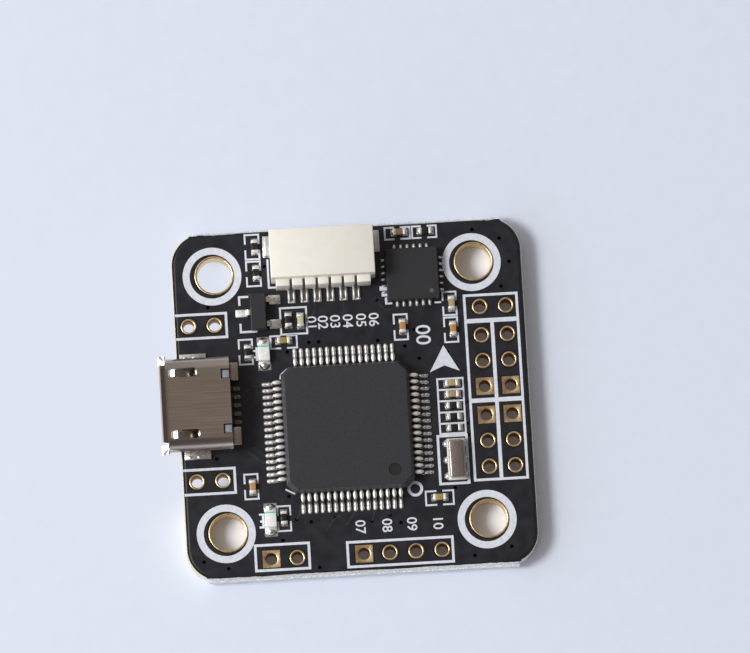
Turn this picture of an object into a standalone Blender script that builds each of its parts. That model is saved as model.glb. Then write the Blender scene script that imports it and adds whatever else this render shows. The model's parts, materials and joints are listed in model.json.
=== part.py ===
"""Flight controller board: a small square circuit board and the parts soldered to it.

Metres, +Z up. The origin is the centre of the four mounting holes, on the bare underside.
The parts stand on the top face. +X runs towards the signal holes and +Y towards the wire
socket. The USB socket looks out over the left edge, along -X.
"""

import math

import bmesh
import bpy
from mathutils import Matrix, Vector

MM = 0.001

# Circuit board. The insets of its mounting holes leave the usual square pattern, 20 mm each way
BOARD_LENGTH = 27.0 * MM
BOARD_WIDTH = 27.0 * MM
BOARD_THICKNESS = 1.6 * MM
BOARD_CORNER_RADIUS = 2.5 * MM
HOLE_DIAMETER = 2.7 * MM
HOLE_INSET_LEFT = 3.3 * MM
HOLE_INSET_RIGHT = 3.7 * MM
HOLE_INSET_FRONT = 3.65 * MM
HOLE_INSET_REAR = 3.35 * MM

# The front and rear edges were snapped along scored grooves, whose slopes are left on them
SCORE_WIDTH = 0.12 * MM
SCORE_DEPTH = 0.45 * MM
SCORE_CUT_PAST = 0.03 * MM

# Plated holes for wires or pins: two columns at the right, rows at the front, pairs at the left
PIN_PITCH = 2.0 * MM
PIN_HOLE_DIAMETER = 0.9 * MM
SIGNAL_INSET = 1.43 * MM
SIGNAL_FIRST_Y = 6.45 * MM
SIGNAL_GROUP_GAP = 2.22 * MM
SIGNAL_GROUP_ROWS = (1, 3, 3)
FRONT_ROW_INSET = 1.45 * MM
FRONT_ROW_X = 0.27 * MM
FRONT_ROW_PINS = 4
FRONT_PAIR_X = -6.83 * MM
LEFT_PAIR_INSET = 1.12 * MM
LEFT_PAIR_Y = (6.14 * MM, -5.93 * MM)
PAIR_PINS = 2

# Film of solder under every soldered foot, and play between pieces that are fitted together
SOLDER_GAP = 0.03 * MM
CLEARANCE = 0.03 * MM

# Processor: square package with gull-wing leads on four sides
PROCESSOR_SIDE = 10.0 * MM
PROCESSOR_HEIGHT = 1.4 * MM
PROCESSOR_STANDOFF = 0.1 * MM
PROCESSOR_CORNER_CUT = 0.6 * MM
PROCESSOR_DRAFT = 0.12 * MM
LEAD_PITCH = 0.5 * MM
LEAD_WIDTH = 0.22 * MM
LEAD_THICKNESS = 0.15 * MM
LEAD_REACH = 1.0 * MM
LEAD_SHOULDER = 0.2 * MM
LEAD_FOOT = 0.5 * MM
LEAD_CORNER_MARGIN = 1.25 * MM
LEAD_BAR_WIDTH = 0.2 * MM
LEAD_SLOT_DEPTH = 0.45 * MM

# Motion sensor: flat square package without leads
SENSOR_SIDE = 4.0 * MM
SENSOR_HEIGHT = 0.9 * MM
SENSOR_EDGE = 0.05 * MM

# USB socket: folded sheet shell with a flared mouth, an insulator and five contacts
USB_OVERHANG = 1.33 * MM
USB_DEPTH = 5.38 * MM
USB_WIDTH = 7.2 * MM
USB_TOP = 2.6 * MM
USB_BOTTOM = 0.12 * MM
USB_WALL = 0.25 * MM
USB_TOP_RADIUS = 0.45 * MM
USB_BLOCK_RADIUS = 0.12 * MM
USB_BLOCK_PLAY = 0.15 * MM
USB_SIDE_FOOT = 1.1 * MM
USB_BOTTOM_WIDTH = 5.5 * MM
USB_LIP_LENGTH = 0.5 * MM
USB_LIP_RISE = 0.3 * MM
USB_LIP_WIDTH = 6.0 * MM
USB_SLOT_LENGTH = 2.2 * MM
USB_SLOT_WIDTH = 0.6 * MM
USB_SLOT_SPACING = 4.85 * MM
USB_SLOT_INSET = 0.68 * MM
USB_LUG_SIDE = 0.6 * MM
USB_LUG_SPACING = 4.25 * MM
USB_SIDE_TAB_LENGTH = 2.05 * MM
USB_SIDE_TAB_INSET = 1.6 * MM
USB_SIDE_TAB_SPAN = 8.3 * MM
USB_REAR_TAB_LENGTH = 0.62 * MM
USB_REAR_TAB_WIDTH = 1.35 * MM
USB_REAR_TAB_SPACING = 5.2 * MM
USB_BLOCK_LENGTH = 1.5 * MM
USB_STEP_LENGTH = 0.45 * MM
USB_STEP_WIDTH = 3.5 * MM
USB_STEP_TOP = 1.7 * MM
USB_TONGUE_WIDTH = 3.9 * MM
USB_TONGUE_THICKNESS = 0.55 * MM
USB_TONGUE_INSET = 1.48 * MM
USB_CONTACTS = 5
USB_CONTACT_PITCH = 0.65 * MM
USB_CONTACT_WIDTH = 0.3 * MM
USB_CONTACT_THICKNESS = 0.15 * MM
USB_CONTACT_HEIGHT = 1.05 * MM
USB_CONTACT_REACH = 0.85 * MM
USB_CONTACT_FOOT = 0.4 * MM

# Wire socket: side-entry housing whose mouth faces the rear edge, with pins and anchor tabs
WIRE_INSET = 0.5 * MM
WIRE_PINS = 6
WIRE_PIN_PITCH = 1.0 * MM
WIRE_END = 1.5 * MM
WIRE_TOP = 2.95 * MM
WIRE_TOP_DEPTH = 3.75 * MM
WIRE_LEDGE_DEPTH = 0.55 * MM
WIRE_LEDGE_TOP = 2.1 * MM
WIRE_SIDE_WALL = 0.8 * MM
WIRE_FLOOR = 0.6 * MM
WIRE_ROOF = 0.5 * MM
WIRE_CAVITY_DEPTH = 2.9 * MM
WIRE_PIN_WIDTH = 0.26 * MM
WIRE_PIN_THICKNESS = 0.25 * MM
WIRE_PIN_HEIGHT = 1.35 * MM
WIRE_PIN_INSET = 0.7 * MM
WIRE_TAIL_REACH = 0.89 * MM
WIRE_TAIL_FOOT = 0.5 * MM
WIRE_TAB_LENGTH = 1.5 * MM
WIRE_TAB_INSET = 0.1 * MM
WIRE_TAB_THICKNESS = 0.2 * MM
WIRE_TAB_HEIGHT = 1.6 * MM
WIRE_TAB_REACH = 0.4 * MM

# Voltage regulator: small moulded package with one lead at the left and two at the right
REGULATOR_WIDTH = 1.3 * MM
REGULATOR_LENGTH = 2.9 * MM
REGULATOR_HEIGHT = 0.95 * MM
REGULATOR_STANDOFF = 0.08 * MM
REGULATOR_DRAFT = 0.08 * MM
REGULATOR_LEAD_SPACING = 1.9 * MM
REGULATOR_LEAD_WIDTH = 0.42 * MM
REGULATOR_LEAD_THICKNESS = 0.13 * MM
REGULATOR_LEAD_REACH = 0.65 * MM
REGULATOR_LEAD_SHOULDER = 0.12 * MM
REGULATOR_LEAD_FOOT = 0.3 * MM

# Clock resonator: ceramic base under a drawn metal lid
RESONATOR_WIDTH = 1.4 * MM
RESONATOR_LENGTH = 3.2 * MM
RESONATOR_BASE_HEIGHT = 0.4 * MM
RESONATOR_LID_HEIGHT = 0.42 * MM
RESONATOR_RIM = 0.13 * MM
RESONATOR_LID_RADIUS = 0.18 * MM
RESONATOR_LID_EDGE = 0.06 * MM

# Status lamps: a thin base with solder ends, and a clear block of resin on it
LED_WIDTH = 0.9 * MM
LED_LENGTH = 1.75 * MM
LED_BASE_HEIGHT = 0.28 * MM
LED_LENS_LENGTH = 1.25 * MM
LED_LENS_HEIGHT = 0.4 * MM
LED_LENS_EDGE = 0.06 * MM

# Chip resistors and capacitors: all one size in plan, with a soldered cap on each end
CHIP_LENGTH = 1.0 * MM
CHIP_WIDTH = 0.5 * MM
RESISTOR_HEIGHT = 0.35 * MM
CAPACITOR_HEIGHT = 0.5 * MM
CHIP_CAP_LENGTH = 0.25 * MM
CHIP_CAP_STEP = 0.02 * MM

# Five chips stand in a ladder beside the processor, from the rear to the front
LADDER_PITCH = 0.86 * MM
LADDER_CHIPS = ("capacitor_7", "capacitor_8", "resistor_6", "resistor_7", "resistor_8")

# Gaps between neighbours and to the edges, from the USB socket and the wire socket inwards
USB_TO_PROCESSOR = 1.98 * MM
TAILS_TO_RESISTOR_3 = 0.94 * MM
RESISTOR_3_TO_CAPACITOR_2 = 0.85 * MM
CAPACITOR_2_TO_PROCESSOR = 0.83 * MM
WIRE_TAB_TO_RESISTORS = 0.47 * MM
WIRE_TAB_TO_SENSOR = 0.46 * MM
SENSOR_TO_EDGE = 2.16 * MM
SENSOR_TO_CAPACITOR_4 = 0.65 * MM
SENSOR_TO_CAPACITOR_6 = 1.47 * MM
CAPACITOR_4_TO_5 = 1.0 * MM
CAPACITOR_3_TO_RESISTOR_5 = 1.0 * MM
CAPACITOR_3_TO_EDGE = 0.53 * MM
REGULATOR_TO_RESISTOR_2 = 1.17 * MM
RESISTOR_2_TO_1 = 1.05 * MM
REGULATOR_TO_RESISTOR_3 = 0.73 * MM
RESISTOR_3_TO_CAPACITOR_1 = 0.42 * MM
REGULATOR_TO_LED_1 = 0.87 * MM
LED_1_TO_RESISTOR_4 = 0.53 * MM
LED_1_TO_CAPACITOR_2 = 0.62 * MM
PROCESSOR_TO_LADDER = 1.68 * MM
LADDER_TO_RESONATOR = 0.63 * MM
RESONATOR_TO_CAPACITOR_10 = 1.0 * MM
PROCESSOR_TO_CAPACITOR_9 = 1.28 * MM
LED_2_TO_RESISTOR_9 = 0.32 * MM

# How far the middle of a part stands aside from the line that it is set out from
USB_FROM_PROCESSOR = 2.26 * MM
WIRE_FROM_PROCESSOR_LEADS = 4.76 * MM
REGULATOR_FROM_TAILS = 0.76 * MM
CAPACITOR_1_FROM_RESISTOR_3 = 0.1 * MM
LED_1_FROM_PROCESSOR_LEADS = 0.1 * MM
RESISTOR_4_FROM_LED_1 = 0.17 * MM
CAPACITOR_3_FROM_SENSOR = 0.79 * MM
CAPACITOR_4_FROM_SENSOR = 0.37 * MM
CAPACITOR_6_FROM_SENSOR = 0.97 * MM
LADDER_FROM_PROCESSOR_LEADS = 2.95 * MM
CAPACITOR_10_FROM_LADDER = 1.45 * MM
CAPACITOR_9_FROM_PROCESSOR = 4.12 * MM
LED_2_FROM_PROCESSOR_LEADS = (0.3 * MM, 0.72 * MM)
RESISTOR_9_FROM_LED_2 = 0.1 * MM

# Sides of the round outlines
PIN_HOLE_SIDES = 12
MOUNT_HOLE_SIDES = 24
CORNER_STEPS = 6
BEND_STEPS = 3
SLOT_END_STEPS = 6

# Edges that turn by more than this look sharp
SHARP_ANGLE = math.radians(35)

# How far a cutter stands out of the piece that it cuts, and a joined block reaches into its piece
CUT_PAST = 0.3 * MM
JOIN_DEPTH = 0.5 * MM

# Values that follow from the sizes above
HOLE_PITCH_X = BOARD_LENGTH - HOLE_INSET_LEFT - HOLE_INSET_RIGHT
HOLE_PITCH_Y = BOARD_WIDTH - HOLE_INSET_FRONT - HOLE_INSET_REAR
LEFT_EDGE = -HOLE_PITCH_X / 2 - HOLE_INSET_LEFT
RIGHT_EDGE = HOLE_PITCH_X / 2 + HOLE_INSET_RIGHT
FRONT_EDGE = -HOLE_PITCH_Y / 2 - HOLE_INSET_FRONT
REAR_EDGE = HOLE_PITCH_Y / 2 + HOLE_INSET_REAR
PROCESSOR_REACH = PROCESSOR_SIDE / 2 + LEAD_REACH
WIRE_HALF_WIDTH = (WIRE_PINS - 1) * WIRE_PIN_PITCH / 2 + WIRE_END
WIRE_DEPTH = WIRE_TOP_DEPTH + WIRE_LEDGE_DEPTH
HALF_CHIP = CHIP_LENGTH / 2
HALF_CHIP_WIDTH = CHIP_WIDTH / 2

# Across the board the row starts at the USB socket's tails, then come the processor and the ladder
USB_TOES_X = LEFT_EDGE - USB_OVERHANG + USB_DEPTH + USB_CONTACT_REACH
PROCESSOR_LEFT = USB_TOES_X + USB_TO_PROCESSOR
PROCESSOR_X = PROCESSOR_LEFT + PROCESSOR_REACH
LADDER_X = PROCESSOR_X + PROCESSOR_REACH + PROCESSOR_TO_LADDER + HALF_CHIP
CAPACITOR_10_X = LADDER_X - CAPACITOR_10_FROM_LADDER
CAPACITOR_9_X = PROCESSOR_LEFT - PROCESSOR_TO_CAPACITOR_9 - HALF_CHIP_WIDTH
LED_1_X = PROCESSOR_LEFT - LED_1_FROM_PROCESSOR_LEADS
RESISTOR_4_X = LED_1_X - LED_WIDTH / 2 - LED_1_TO_RESISTOR_4 - HALF_CHIP_WIDTH
CAPACITOR_2_X = LED_1_X + LED_WIDTH / 2 + LED_1_TO_CAPACITOR_2 + HALF_CHIP
LED_2_X = PROCESSOR_LEFT - LED_2_FROM_PROCESSOR_LEADS[0]
RESISTOR_9_X = LED_2_X + LED_WIDTH / 2 + LED_2_TO_RESISTOR_9 + HALF_CHIP_WIDTH

# Behind that row, parts stand to the left and to the right of the wire socket's anchor tabs
WIRE_X = PROCESSOR_LEFT + WIRE_FROM_PROCESSOR_LEADS
WIRE_SPAN = WIRE_HALF_WIDTH + WIRE_TAB_REACH
LEFT_COLUMN_X = WIRE_X - WIRE_SPAN - WIRE_TAB_TO_RESISTORS - HALF_CHIP_WIDTH
REGULATOR_RIGHT = LEFT_COLUMN_X + REGULATOR_WIDTH / 2 + REGULATOR_LEAD_REACH
RESISTOR_3_X = REGULATOR_RIGHT + REGULATOR_TO_RESISTOR_3 + HALF_CHIP_WIDTH
CAPACITOR_1_X = RESISTOR_3_X + CHIP_WIDTH + RESISTOR_3_TO_CAPACITOR_1
SENSOR_X = WIRE_X + WIRE_SPAN + WIRE_TAB_TO_SENSOR + SENSOR_SIDE / 2
CAPACITOR_3_X = SENSOR_X - CAPACITOR_3_FROM_SENSOR
RESISTOR_5_X = CAPACITOR_3_X + CHIP_LENGTH + CAPACITOR_3_TO_RESISTOR_5
CAPACITOR_4_X = SENSOR_X + SENSOR_SIDE / 2 + SENSOR_TO_CAPACITOR_4 + HALF_CHIP_WIDTH
CAPACITOR_6_X = SENSOR_X - CAPACITOR_6_FROM_SENSOR

# From the rear edge forwards come the wire socket's tails, three chips and the processor
WIRE_TOES_Y = REAR_EDGE - WIRE_INSET - WIRE_DEPTH - WIRE_TAIL_REACH
RESISTOR_3_Y = WIRE_TOES_Y - TAILS_TO_RESISTOR_3 - HALF_CHIP
CAPACITOR_1_Y = RESISTOR_3_Y - CAPACITOR_1_FROM_RESISTOR_3
CAPACITOR_2_Y = RESISTOR_3_Y - HALF_CHIP - RESISTOR_3_TO_CAPACITOR_2 - HALF_CHIP_WIDTH
PROCESSOR_REAR = CAPACITOR_2_Y - HALF_CHIP_WIDTH - CAPACITOR_2_TO_PROCESSOR
PROCESSOR_Y = PROCESSOR_REAR - PROCESSOR_REACH
USB_Y = PROCESSOR_Y + USB_FROM_PROCESSOR
LED_2_Y = PROCESSOR_Y - PROCESSOR_REACH - LED_2_FROM_PROCESSOR_LEADS[1]
RESISTOR_9_Y = LED_2_Y + RESISTOR_9_FROM_LED_2
CAPACITOR_9_Y = PROCESSOR_Y - CAPACITOR_9_FROM_PROCESSOR

# The left column runs both ways from the regulator
REGULATOR_Y = WIRE_TOES_Y - REGULATOR_FROM_TAILS
RESISTOR_2_Y = REGULATOR_Y + REGULATOR_LENGTH / 2 + REGULATOR_TO_RESISTOR_2 + HALF_CHIP
RESISTOR_1_Y = RESISTOR_2_Y + CHIP_LENGTH + RESISTOR_2_TO_1
LED_1_Y = REGULATOR_Y - REGULATOR_LENGTH / 2 - REGULATOR_TO_LED_1 - LED_LENGTH / 2
RESISTOR_4_Y = LED_1_Y + RESISTOR_4_FROM_LED_1

# The sensor and its chips are set out from the rear edge, the ladder from the processor's leads
CAPACITOR_3_Y = REAR_EDGE - CAPACITOR_3_TO_EDGE - HALF_CHIP_WIDTH
SENSOR_Y = REAR_EDGE - SENSOR_TO_EDGE - SENSOR_SIDE / 2
SENSOR_FRONT = SENSOR_Y - SENSOR_SIDE / 2
CAPACITOR_4_Y = SENSOR_FRONT - CAPACITOR_4_FROM_SENSOR
CAPACITOR_5_Y = CAPACITOR_4_Y - CHIP_LENGTH - CAPACITOR_4_TO_5
CAPACITOR_6_Y = SENSOR_FRONT - SENSOR_TO_CAPACITOR_6 - HALF_CHIP
LADDER_Y = PROCESSOR_REAR - LADDER_FROM_PROCESSOR_LEADS
LADDER_FRONT = LADDER_Y - (len(LADDER_CHIPS) - 1) * LADDER_PITCH - HALF_CHIP_WIDTH
RESONATOR_Y = LADDER_FRONT - LADDER_TO_RESONATOR - RESONATOR_LENGTH / 2
RESONATOR_FRONT = RESONATOR_Y - RESONATOR_LENGTH / 2
CAPACITOR_10_Y = RESONATOR_FRONT - RESONATOR_TO_CAPACITOR_10 - HALF_CHIP_WIDTH

# Where each chip lies, and whether it lies along X or along Y
ALONG_X = 0.0
ALONG_Y = math.pi / 2
CHIP_PLACES = {
    "resistor_1": (LEFT_COLUMN_X, RESISTOR_1_Y, ALONG_Y),
    "resistor_2": (LEFT_COLUMN_X, RESISTOR_2_Y, ALONG_Y),
    "resistor_3": (RESISTOR_3_X, RESISTOR_3_Y, ALONG_Y),
    "resistor_4": (RESISTOR_4_X, RESISTOR_4_Y, ALONG_Y),
    "resistor_5": (RESISTOR_5_X, CAPACITOR_3_Y, ALONG_X),
    "resistor_9": (RESISTOR_9_X, RESISTOR_9_Y, ALONG_Y),
    "capacitor_1": (CAPACITOR_1_X, CAPACITOR_1_Y, ALONG_Y),
    "capacitor_2": (CAPACITOR_2_X, CAPACITOR_2_Y, ALONG_X),
    "capacitor_3": (CAPACITOR_3_X, CAPACITOR_3_Y, ALONG_X),
    "capacitor_4": (CAPACITOR_4_X, CAPACITOR_4_Y, ALONG_Y),
    "capacitor_5": (CAPACITOR_4_X, CAPACITOR_5_Y, ALONG_Y),
    "capacitor_6": (CAPACITOR_6_X, CAPACITOR_6_Y, ALONG_Y),
    "capacitor_9": (CAPACITOR_9_X, CAPACITOR_9_Y, ALONG_Y),
    "capacitor_10": (CAPACITOR_10_X, CAPACITOR_10_Y, ALONG_X),
}
for rung, rung_chip in enumerate(LADDER_CHIPS):
    CHIP_PLACES[rung_chip] = (LADDER_X, LADDER_Y - rung * LADDER_PITCH, ALONG_X)

# A flat outline is drawn in X and Y and given its thickness along Z. These matrices stand it up:
# SIDE_ON keeps X and turns the outline's Y to +Z, ENDWAYS turns X to +Y, Y to +Z and Z to +X
SIDE_ON = Matrix.Rotation(math.pi / 2, 4, "X")
ENDWAYS = Matrix(((0, 0, 1, 0), (1, 0, 0, 0), (0, 1, 0, 0), (0, 0, 0, 1)))

# Points closer than this are one point
WELD_DISTANCE = 1.0e-7


for old_object in list(bpy.data.objects):
    bpy.data.objects.remove(old_object)

parts = bpy.data.collections.new("flight_controller_board")
cutters = bpy.data.collections.new("cutters")
bpy.context.scene.collection.children.link(parts)
bpy.context.scene.collection.children.link(cutters)


def surface(name, red, green, blue, roughness, metallic):
    """Make a material of one colour."""
    material = bpy.data.materials.new(name)
    material.use_nodes = True
    shader = material.node_tree.nodes["Principled BSDF"]
    shader.inputs["Base Color"].default_value = (red, green, blue, 1.0)
    shader.inputs["Roughness"].default_value = roughness
    shader.inputs["Metallic"].default_value = metallic
    return material


SOLDER_MASK = surface("black_solder_mask", 0.03, 0.03, 0.04, 0.35, 0.0)
MOULD_COMPOUND = surface("grey_mould_compound", 0.045, 0.045, 0.05, 0.6, 0.0)
TIN = surface("tin_plate", 0.75, 0.75, 0.74, 0.3, 1.0)
SHELL_STEEL = surface("plated_shell_steel", 0.36, 0.32, 0.27, 0.35, 1.0)
BLACK_PLASTIC = surface("black_plastic", 0.05, 0.05, 0.055, 0.5, 0.0)
GOLD = surface("gold_plate", 0.7, 0.5, 0.2, 0.3, 1.0)
CREAM_PLASTIC = surface("cream_plastic", 0.8, 0.77, 0.7, 0.45, 0.0)
WHITE_CERAMIC = surface("white_ceramic", 0.75, 0.73, 0.68, 0.5, 0.0)
LID_METAL = surface("drawn_lid_metal", 0.4, 0.36, 0.32, 0.3, 1.0)
CLEAR_RESIN = surface("clear_resin", 0.8, 0.83, 0.8, 0.25, 0.0)
BLACK_GLAZE = surface("black_resistor_glaze", 0.03, 0.03, 0.03, 0.3, 0.0)
BROWN_CERAMIC = surface("brown_capacitor_ceramic", 0.45, 0.28, 0.12, 0.45, 0.0)


def place_mark(name, location):
    """Add an empty that the pieces of one component are placed by."""
    mark = bpy.data.objects.new(name, None)
    mark.location = location
    parts.objects.link(mark)
    return mark


def on_top(x, y):
    """Give the place on the board's top face."""
    return (x, y, BOARD_THICKNESS)


def add_object(name, bm, collection, mark):
    """Make an object of a bmesh, placed by an empty."""
    bmesh.ops.recalc_face_normals(bm, faces=bm.faces)
    mesh = bpy.data.meshes.new(name)
    bm.to_mesh(mesh)
    bm.free()
    obj = bpy.data.objects.new(name, mesh)
    obj.parent = mark
    collection.objects.link(obj)
    return obj


def add_piece(name, bm, material, mark):
    """Make one of the board's pieces."""
    piece = add_object(name, bm, parts, mark)
    piece.data.materials.append(material)
    piece.data.shade_smooth()
    piece.data.set_sharp_from_angle(angle=SHARP_ANGLE)
    return piece


def combine(piece, bm, mark, operation):
    """Cut a piece with a shape, or join the shape to it, by a Boolean modifier."""
    tool = add_object(piece.name + "_" + operation.lower(), bm, cutters, mark)
    tool.hide_render = True
    tool.display_type = "WIRE"
    modifier = piece.modifiers.new(operation.lower(), "BOOLEAN")
    modifier.operation = operation
    modifier.object = tool


def add_box(bm, low, high):
    """Add a box between two corners."""
    middle = (Vector(low) + Vector(high)) / 2
    size = Vector(high) - Vector(low)
    place = Matrix.Translation(middle) @ Matrix.Diagonal(size.to_4d())
    return bmesh.ops.create_cube(bm, size=1.0, matrix=place)["verts"]


def upright_edges(bm):
    """List the edges that stand along Z."""
    edges = []
    for edge in bm.edges:
        along = edge.verts[1].co - edge.verts[0].co
        if abs(along.z) > along.length / 2:
            edges.append(edge)
    return edges


def arc(centre_x, centre_y, radius, start_deg, end_deg, steps):
    """List the points of an arc, both ends included."""
    points = []
    for step in range(steps + 1):
        angle = math.radians(start_deg + (end_deg - start_deg) * step / steps)
        points.append((centre_x + radius * math.cos(angle), centre_y + radius * math.sin(angle)))
    return points


def rounded_rectangle(left, right, front, rear, radius):
    """List the points of a rectangle with round corners."""
    points = arc(right - radius, rear - radius, radius, 0, 90, CORNER_STEPS)
    points += arc(left + radius, rear - radius, radius, 90, 180, CORNER_STEPS)
    points += arc(left + radius, front + radius, radius, 180, 270, CORNER_STEPS)
    points += arc(right - radius, front + radius, radius, 270, 360, CORNER_STEPS)
    return points


def add_plate(bm, points, thickness, place):
    """Add a plate with the given outline, half its thickness to each side of Z = 0.

    The curve is drawn in millimetres and shrunk, because its fill takes points that lie
    a few hundredths of a millimetre apart, measured in metres, for one point.
    """
    curve = bpy.data.curves.new("outline", "CURVE")
    curve.dimensions = "2D"
    curve.fill_mode = "BOTH"
    curve.extrude = thickness / 2 / MM
    spline = curve.splines.new("POLY")
    spline.points.add(len(points) - 1)
    spline.use_cyclic_u = True
    for spline_point, (x, y) in zip(spline.points, points):
        spline_point.co = (x / MM, y / MM, 0.0, 1.0)
    drawing = bpy.data.objects.new("outline", curve)
    cutters.objects.link(drawing)
    depsgraph = bpy.context.evaluated_depsgraph_get()
    mesh = bpy.data.meshes.new_from_object(drawing.evaluated_get(depsgraph))
    bpy.data.objects.remove(drawing)
    mesh.transform(place @ Matrix.Scale(MM, 4))
    bm.from_mesh(mesh)
    bpy.data.meshes.remove(mesh)
    bmesh.ops.remove_doubles(bm, verts=bm.verts, dist=WELD_DISTANCE)


def gull_wing(root, knee, toe, foot, height, thickness):
    """List the side outline of a strip that runs out at a height, bends down and ends in a foot."""
    sole = SOLDER_GAP
    ankle = toe - foot
    return [
        (root, height - thickness / 2),
        (knee - thickness, height - thickness / 2),
        (ankle - thickness, sole),
        (toe, sole),
        (toe, sole + thickness),
        (ankle, sole + thickness),
        (knee, height + thickness / 2),
        (root, height + thickness / 2),
    ]


def spaced(count, pitch):
    """List the places of a row that is centred on zero."""
    return [(index - (count - 1) / 2) * pitch for index in range(count)]


# Circuit board
board_mark = place_mark("board", (0.0, 0.0, 0.0))


def pin_hole_centres():
    """List the centres of the plated holes for wires and pins."""
    centres = []
    y = SIGNAL_FIRST_Y
    for rows in SIGNAL_GROUP_ROWS:
        for row in range(rows):
            for column in range(PAIR_PINS):
                centres.append((RIGHT_EDGE - SIGNAL_INSET - column * PIN_PITCH, y - row * PIN_PITCH))
        y -= (rows - 1) * PIN_PITCH + SIGNAL_GROUP_GAP
    front_y = FRONT_EDGE + FRONT_ROW_INSET
    for pin in range(FRONT_ROW_PINS):
        centres.append((FRONT_ROW_X + pin * PIN_PITCH, front_y))
    for pin in range(PAIR_PINS):
        centres.append((FRONT_PAIR_X + pin * PIN_PITCH, front_y))
        for pair_y in LEFT_PAIR_Y:
            centres.append((LEFT_EDGE + LEFT_PAIR_INSET + pin * PIN_PITCH, pair_y))
    return centres


def add_drill(bm, x, y, diameter, sides, length):
    """Add a cylinder that drills the board, centred on its thickness."""
    place = Matrix.Translation((x, y, BOARD_THICKNESS / 2))
    bmesh.ops.create_cone(bm, cap_ends=True, segments=sides, radius1=diameter / 2, radius2=diameter / 2,
                          depth=length, matrix=place)


def make_board():
    """Make the board with its holes, and the scored slopes of its front and rear edges."""
    outline = rounded_rectangle(LEFT_EDGE, RIGHT_EDGE, FRONT_EDGE, REAR_EDGE, BOARD_CORNER_RADIUS)
    middle_height = Matrix.Translation((0, 0, BOARD_THICKNESS / 2))
    bm = bmesh.new()
    add_plate(bm, outline, BOARD_THICKNESS, middle_height)
    board = add_piece("circuit_board", bm, SOLDER_MASK, board_mark)

    drill_length = BOARD_THICKNESS + 2 * CUT_PAST
    mount_drills = bmesh.new()
    for x in spaced(2, HOLE_PITCH_X):
        for y in spaced(2, HOLE_PITCH_Y):
            add_drill(mount_drills, x, y, HOLE_DIAMETER, MOUNT_HOLE_SIDES, drill_length)
    combine(board, mount_drills, board_mark, "DIFFERENCE")
    pin_drills = bmesh.new()
    for x, y in pin_hole_centres():
        add_drill(pin_drills, x, y, PIN_HOLE_DIAMETER, PIN_HOLE_SIDES, drill_length)
    combine(board, pin_drills, board_mark, "DIFFERENCE")

    slopes = bmesh.new()
    length = RIGHT_EDGE - LEFT_EDGE + 2 * CUT_PAST
    middle = Matrix.Translation(((LEFT_EDGE + RIGHT_EDGE) / 2, 0, 0))
    past = SCORE_CUT_PAST
    rise = SCORE_DEPTH / SCORE_WIDTH
    for edge, outward in ((FRONT_EDGE, -1), (REAR_EDGE, 1)):
        for face, upward in ((0.0, -1), (BOARD_THICKNESS, 1)):
            outside = edge + outward * past
            inside = edge - outward * (SCORE_WIDTH + past)
            foot = (outside, face - upward * (SCORE_DEPTH + past * rise))
            crest = (inside, face + upward * past * rise)
            corner = (outside, face + upward * past * rise)
            add_plate(slopes, [foot, crest, corner], length, middle @ ENDWAYS)
    combine(board, slopes, board_mark, "DIFFERENCE")


# Processor
processor_mark = place_mark("processor", on_top(PROCESSOR_X, PROCESSOR_Y))
PARTING_HEIGHT = PROCESSOR_STANDOFF + PROCESSOR_HEIGHT / 2
LEAD_ROW_ROOM = PROCESSOR_SIDE - 2 * LEAD_CORNER_MARGIN
LEADS_PER_SIDE = round(LEAD_ROW_ROOM / LEAD_PITCH) + 1
LEAD_BAR_LENGTH = (LEADS_PER_SIDE - 1) * LEAD_PITCH + 2 * LEAD_WIDTH
LEAD_ROOT = PROCESSOR_SIDE / 2 - LEAD_SLOT_DEPTH + CLEARANCE
QUARTER_TURN = math.pi / 2


def make_processor_package():
    """Make the moulded body: corners cut, sides drafted from the parting line, slots for the leads."""
    half = PROCESSOR_SIDE / 2
    top = PROCESSOR_STANDOFF + PROCESSOR_HEIGHT
    bm = bmesh.new()
    add_box(bm, (-half, -half, PROCESSOR_STANDOFF), (half, half, top))
    bmesh.ops.bevel(bm, geom=upright_edges(bm), offset=PROCESSOR_CORNER_CUT * math.sqrt(2) / 2,
                    segments=1, profile=0.5, affect="EDGES")
    everything = bm.verts[:] + bm.edges[:] + bm.faces[:]
    bmesh.ops.bisect_plane(bm, geom=everything, plane_co=(0, 0, PARTING_HEIGHT), plane_no=(0, 0, 1))
    shrink = (half - PROCESSOR_DRAFT) / half
    for vert in bm.verts:
        if abs(vert.co.z - PARTING_HEIGHT) > WELD_DISTANCE:
            vert.co.x *= shrink
            vert.co.y *= shrink
    package = add_piece("processor_package", bm, MOULD_COMPOUND, processor_mark)

    slots = bmesh.new()
    half_length = LEAD_BAR_LENGTH / 2 + CLEARANCE
    half_height = LEAD_THICKNESS / 2 + CLEARANCE
    for side in range(4):
        low = (half - LEAD_SLOT_DEPTH, -half_length, PARTING_HEIGHT - half_height)
        high = (half + CUT_PAST, half_length, PARTING_HEIGHT + half_height)
        verts = add_box(slots, low, high)
        bmesh.ops.rotate(slots, verts=verts, matrix=Matrix.Rotation(side * QUARTER_TURN, 3, "Z"))
    combine(package, slots, processor_mark, "DIFFERENCE")


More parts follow.
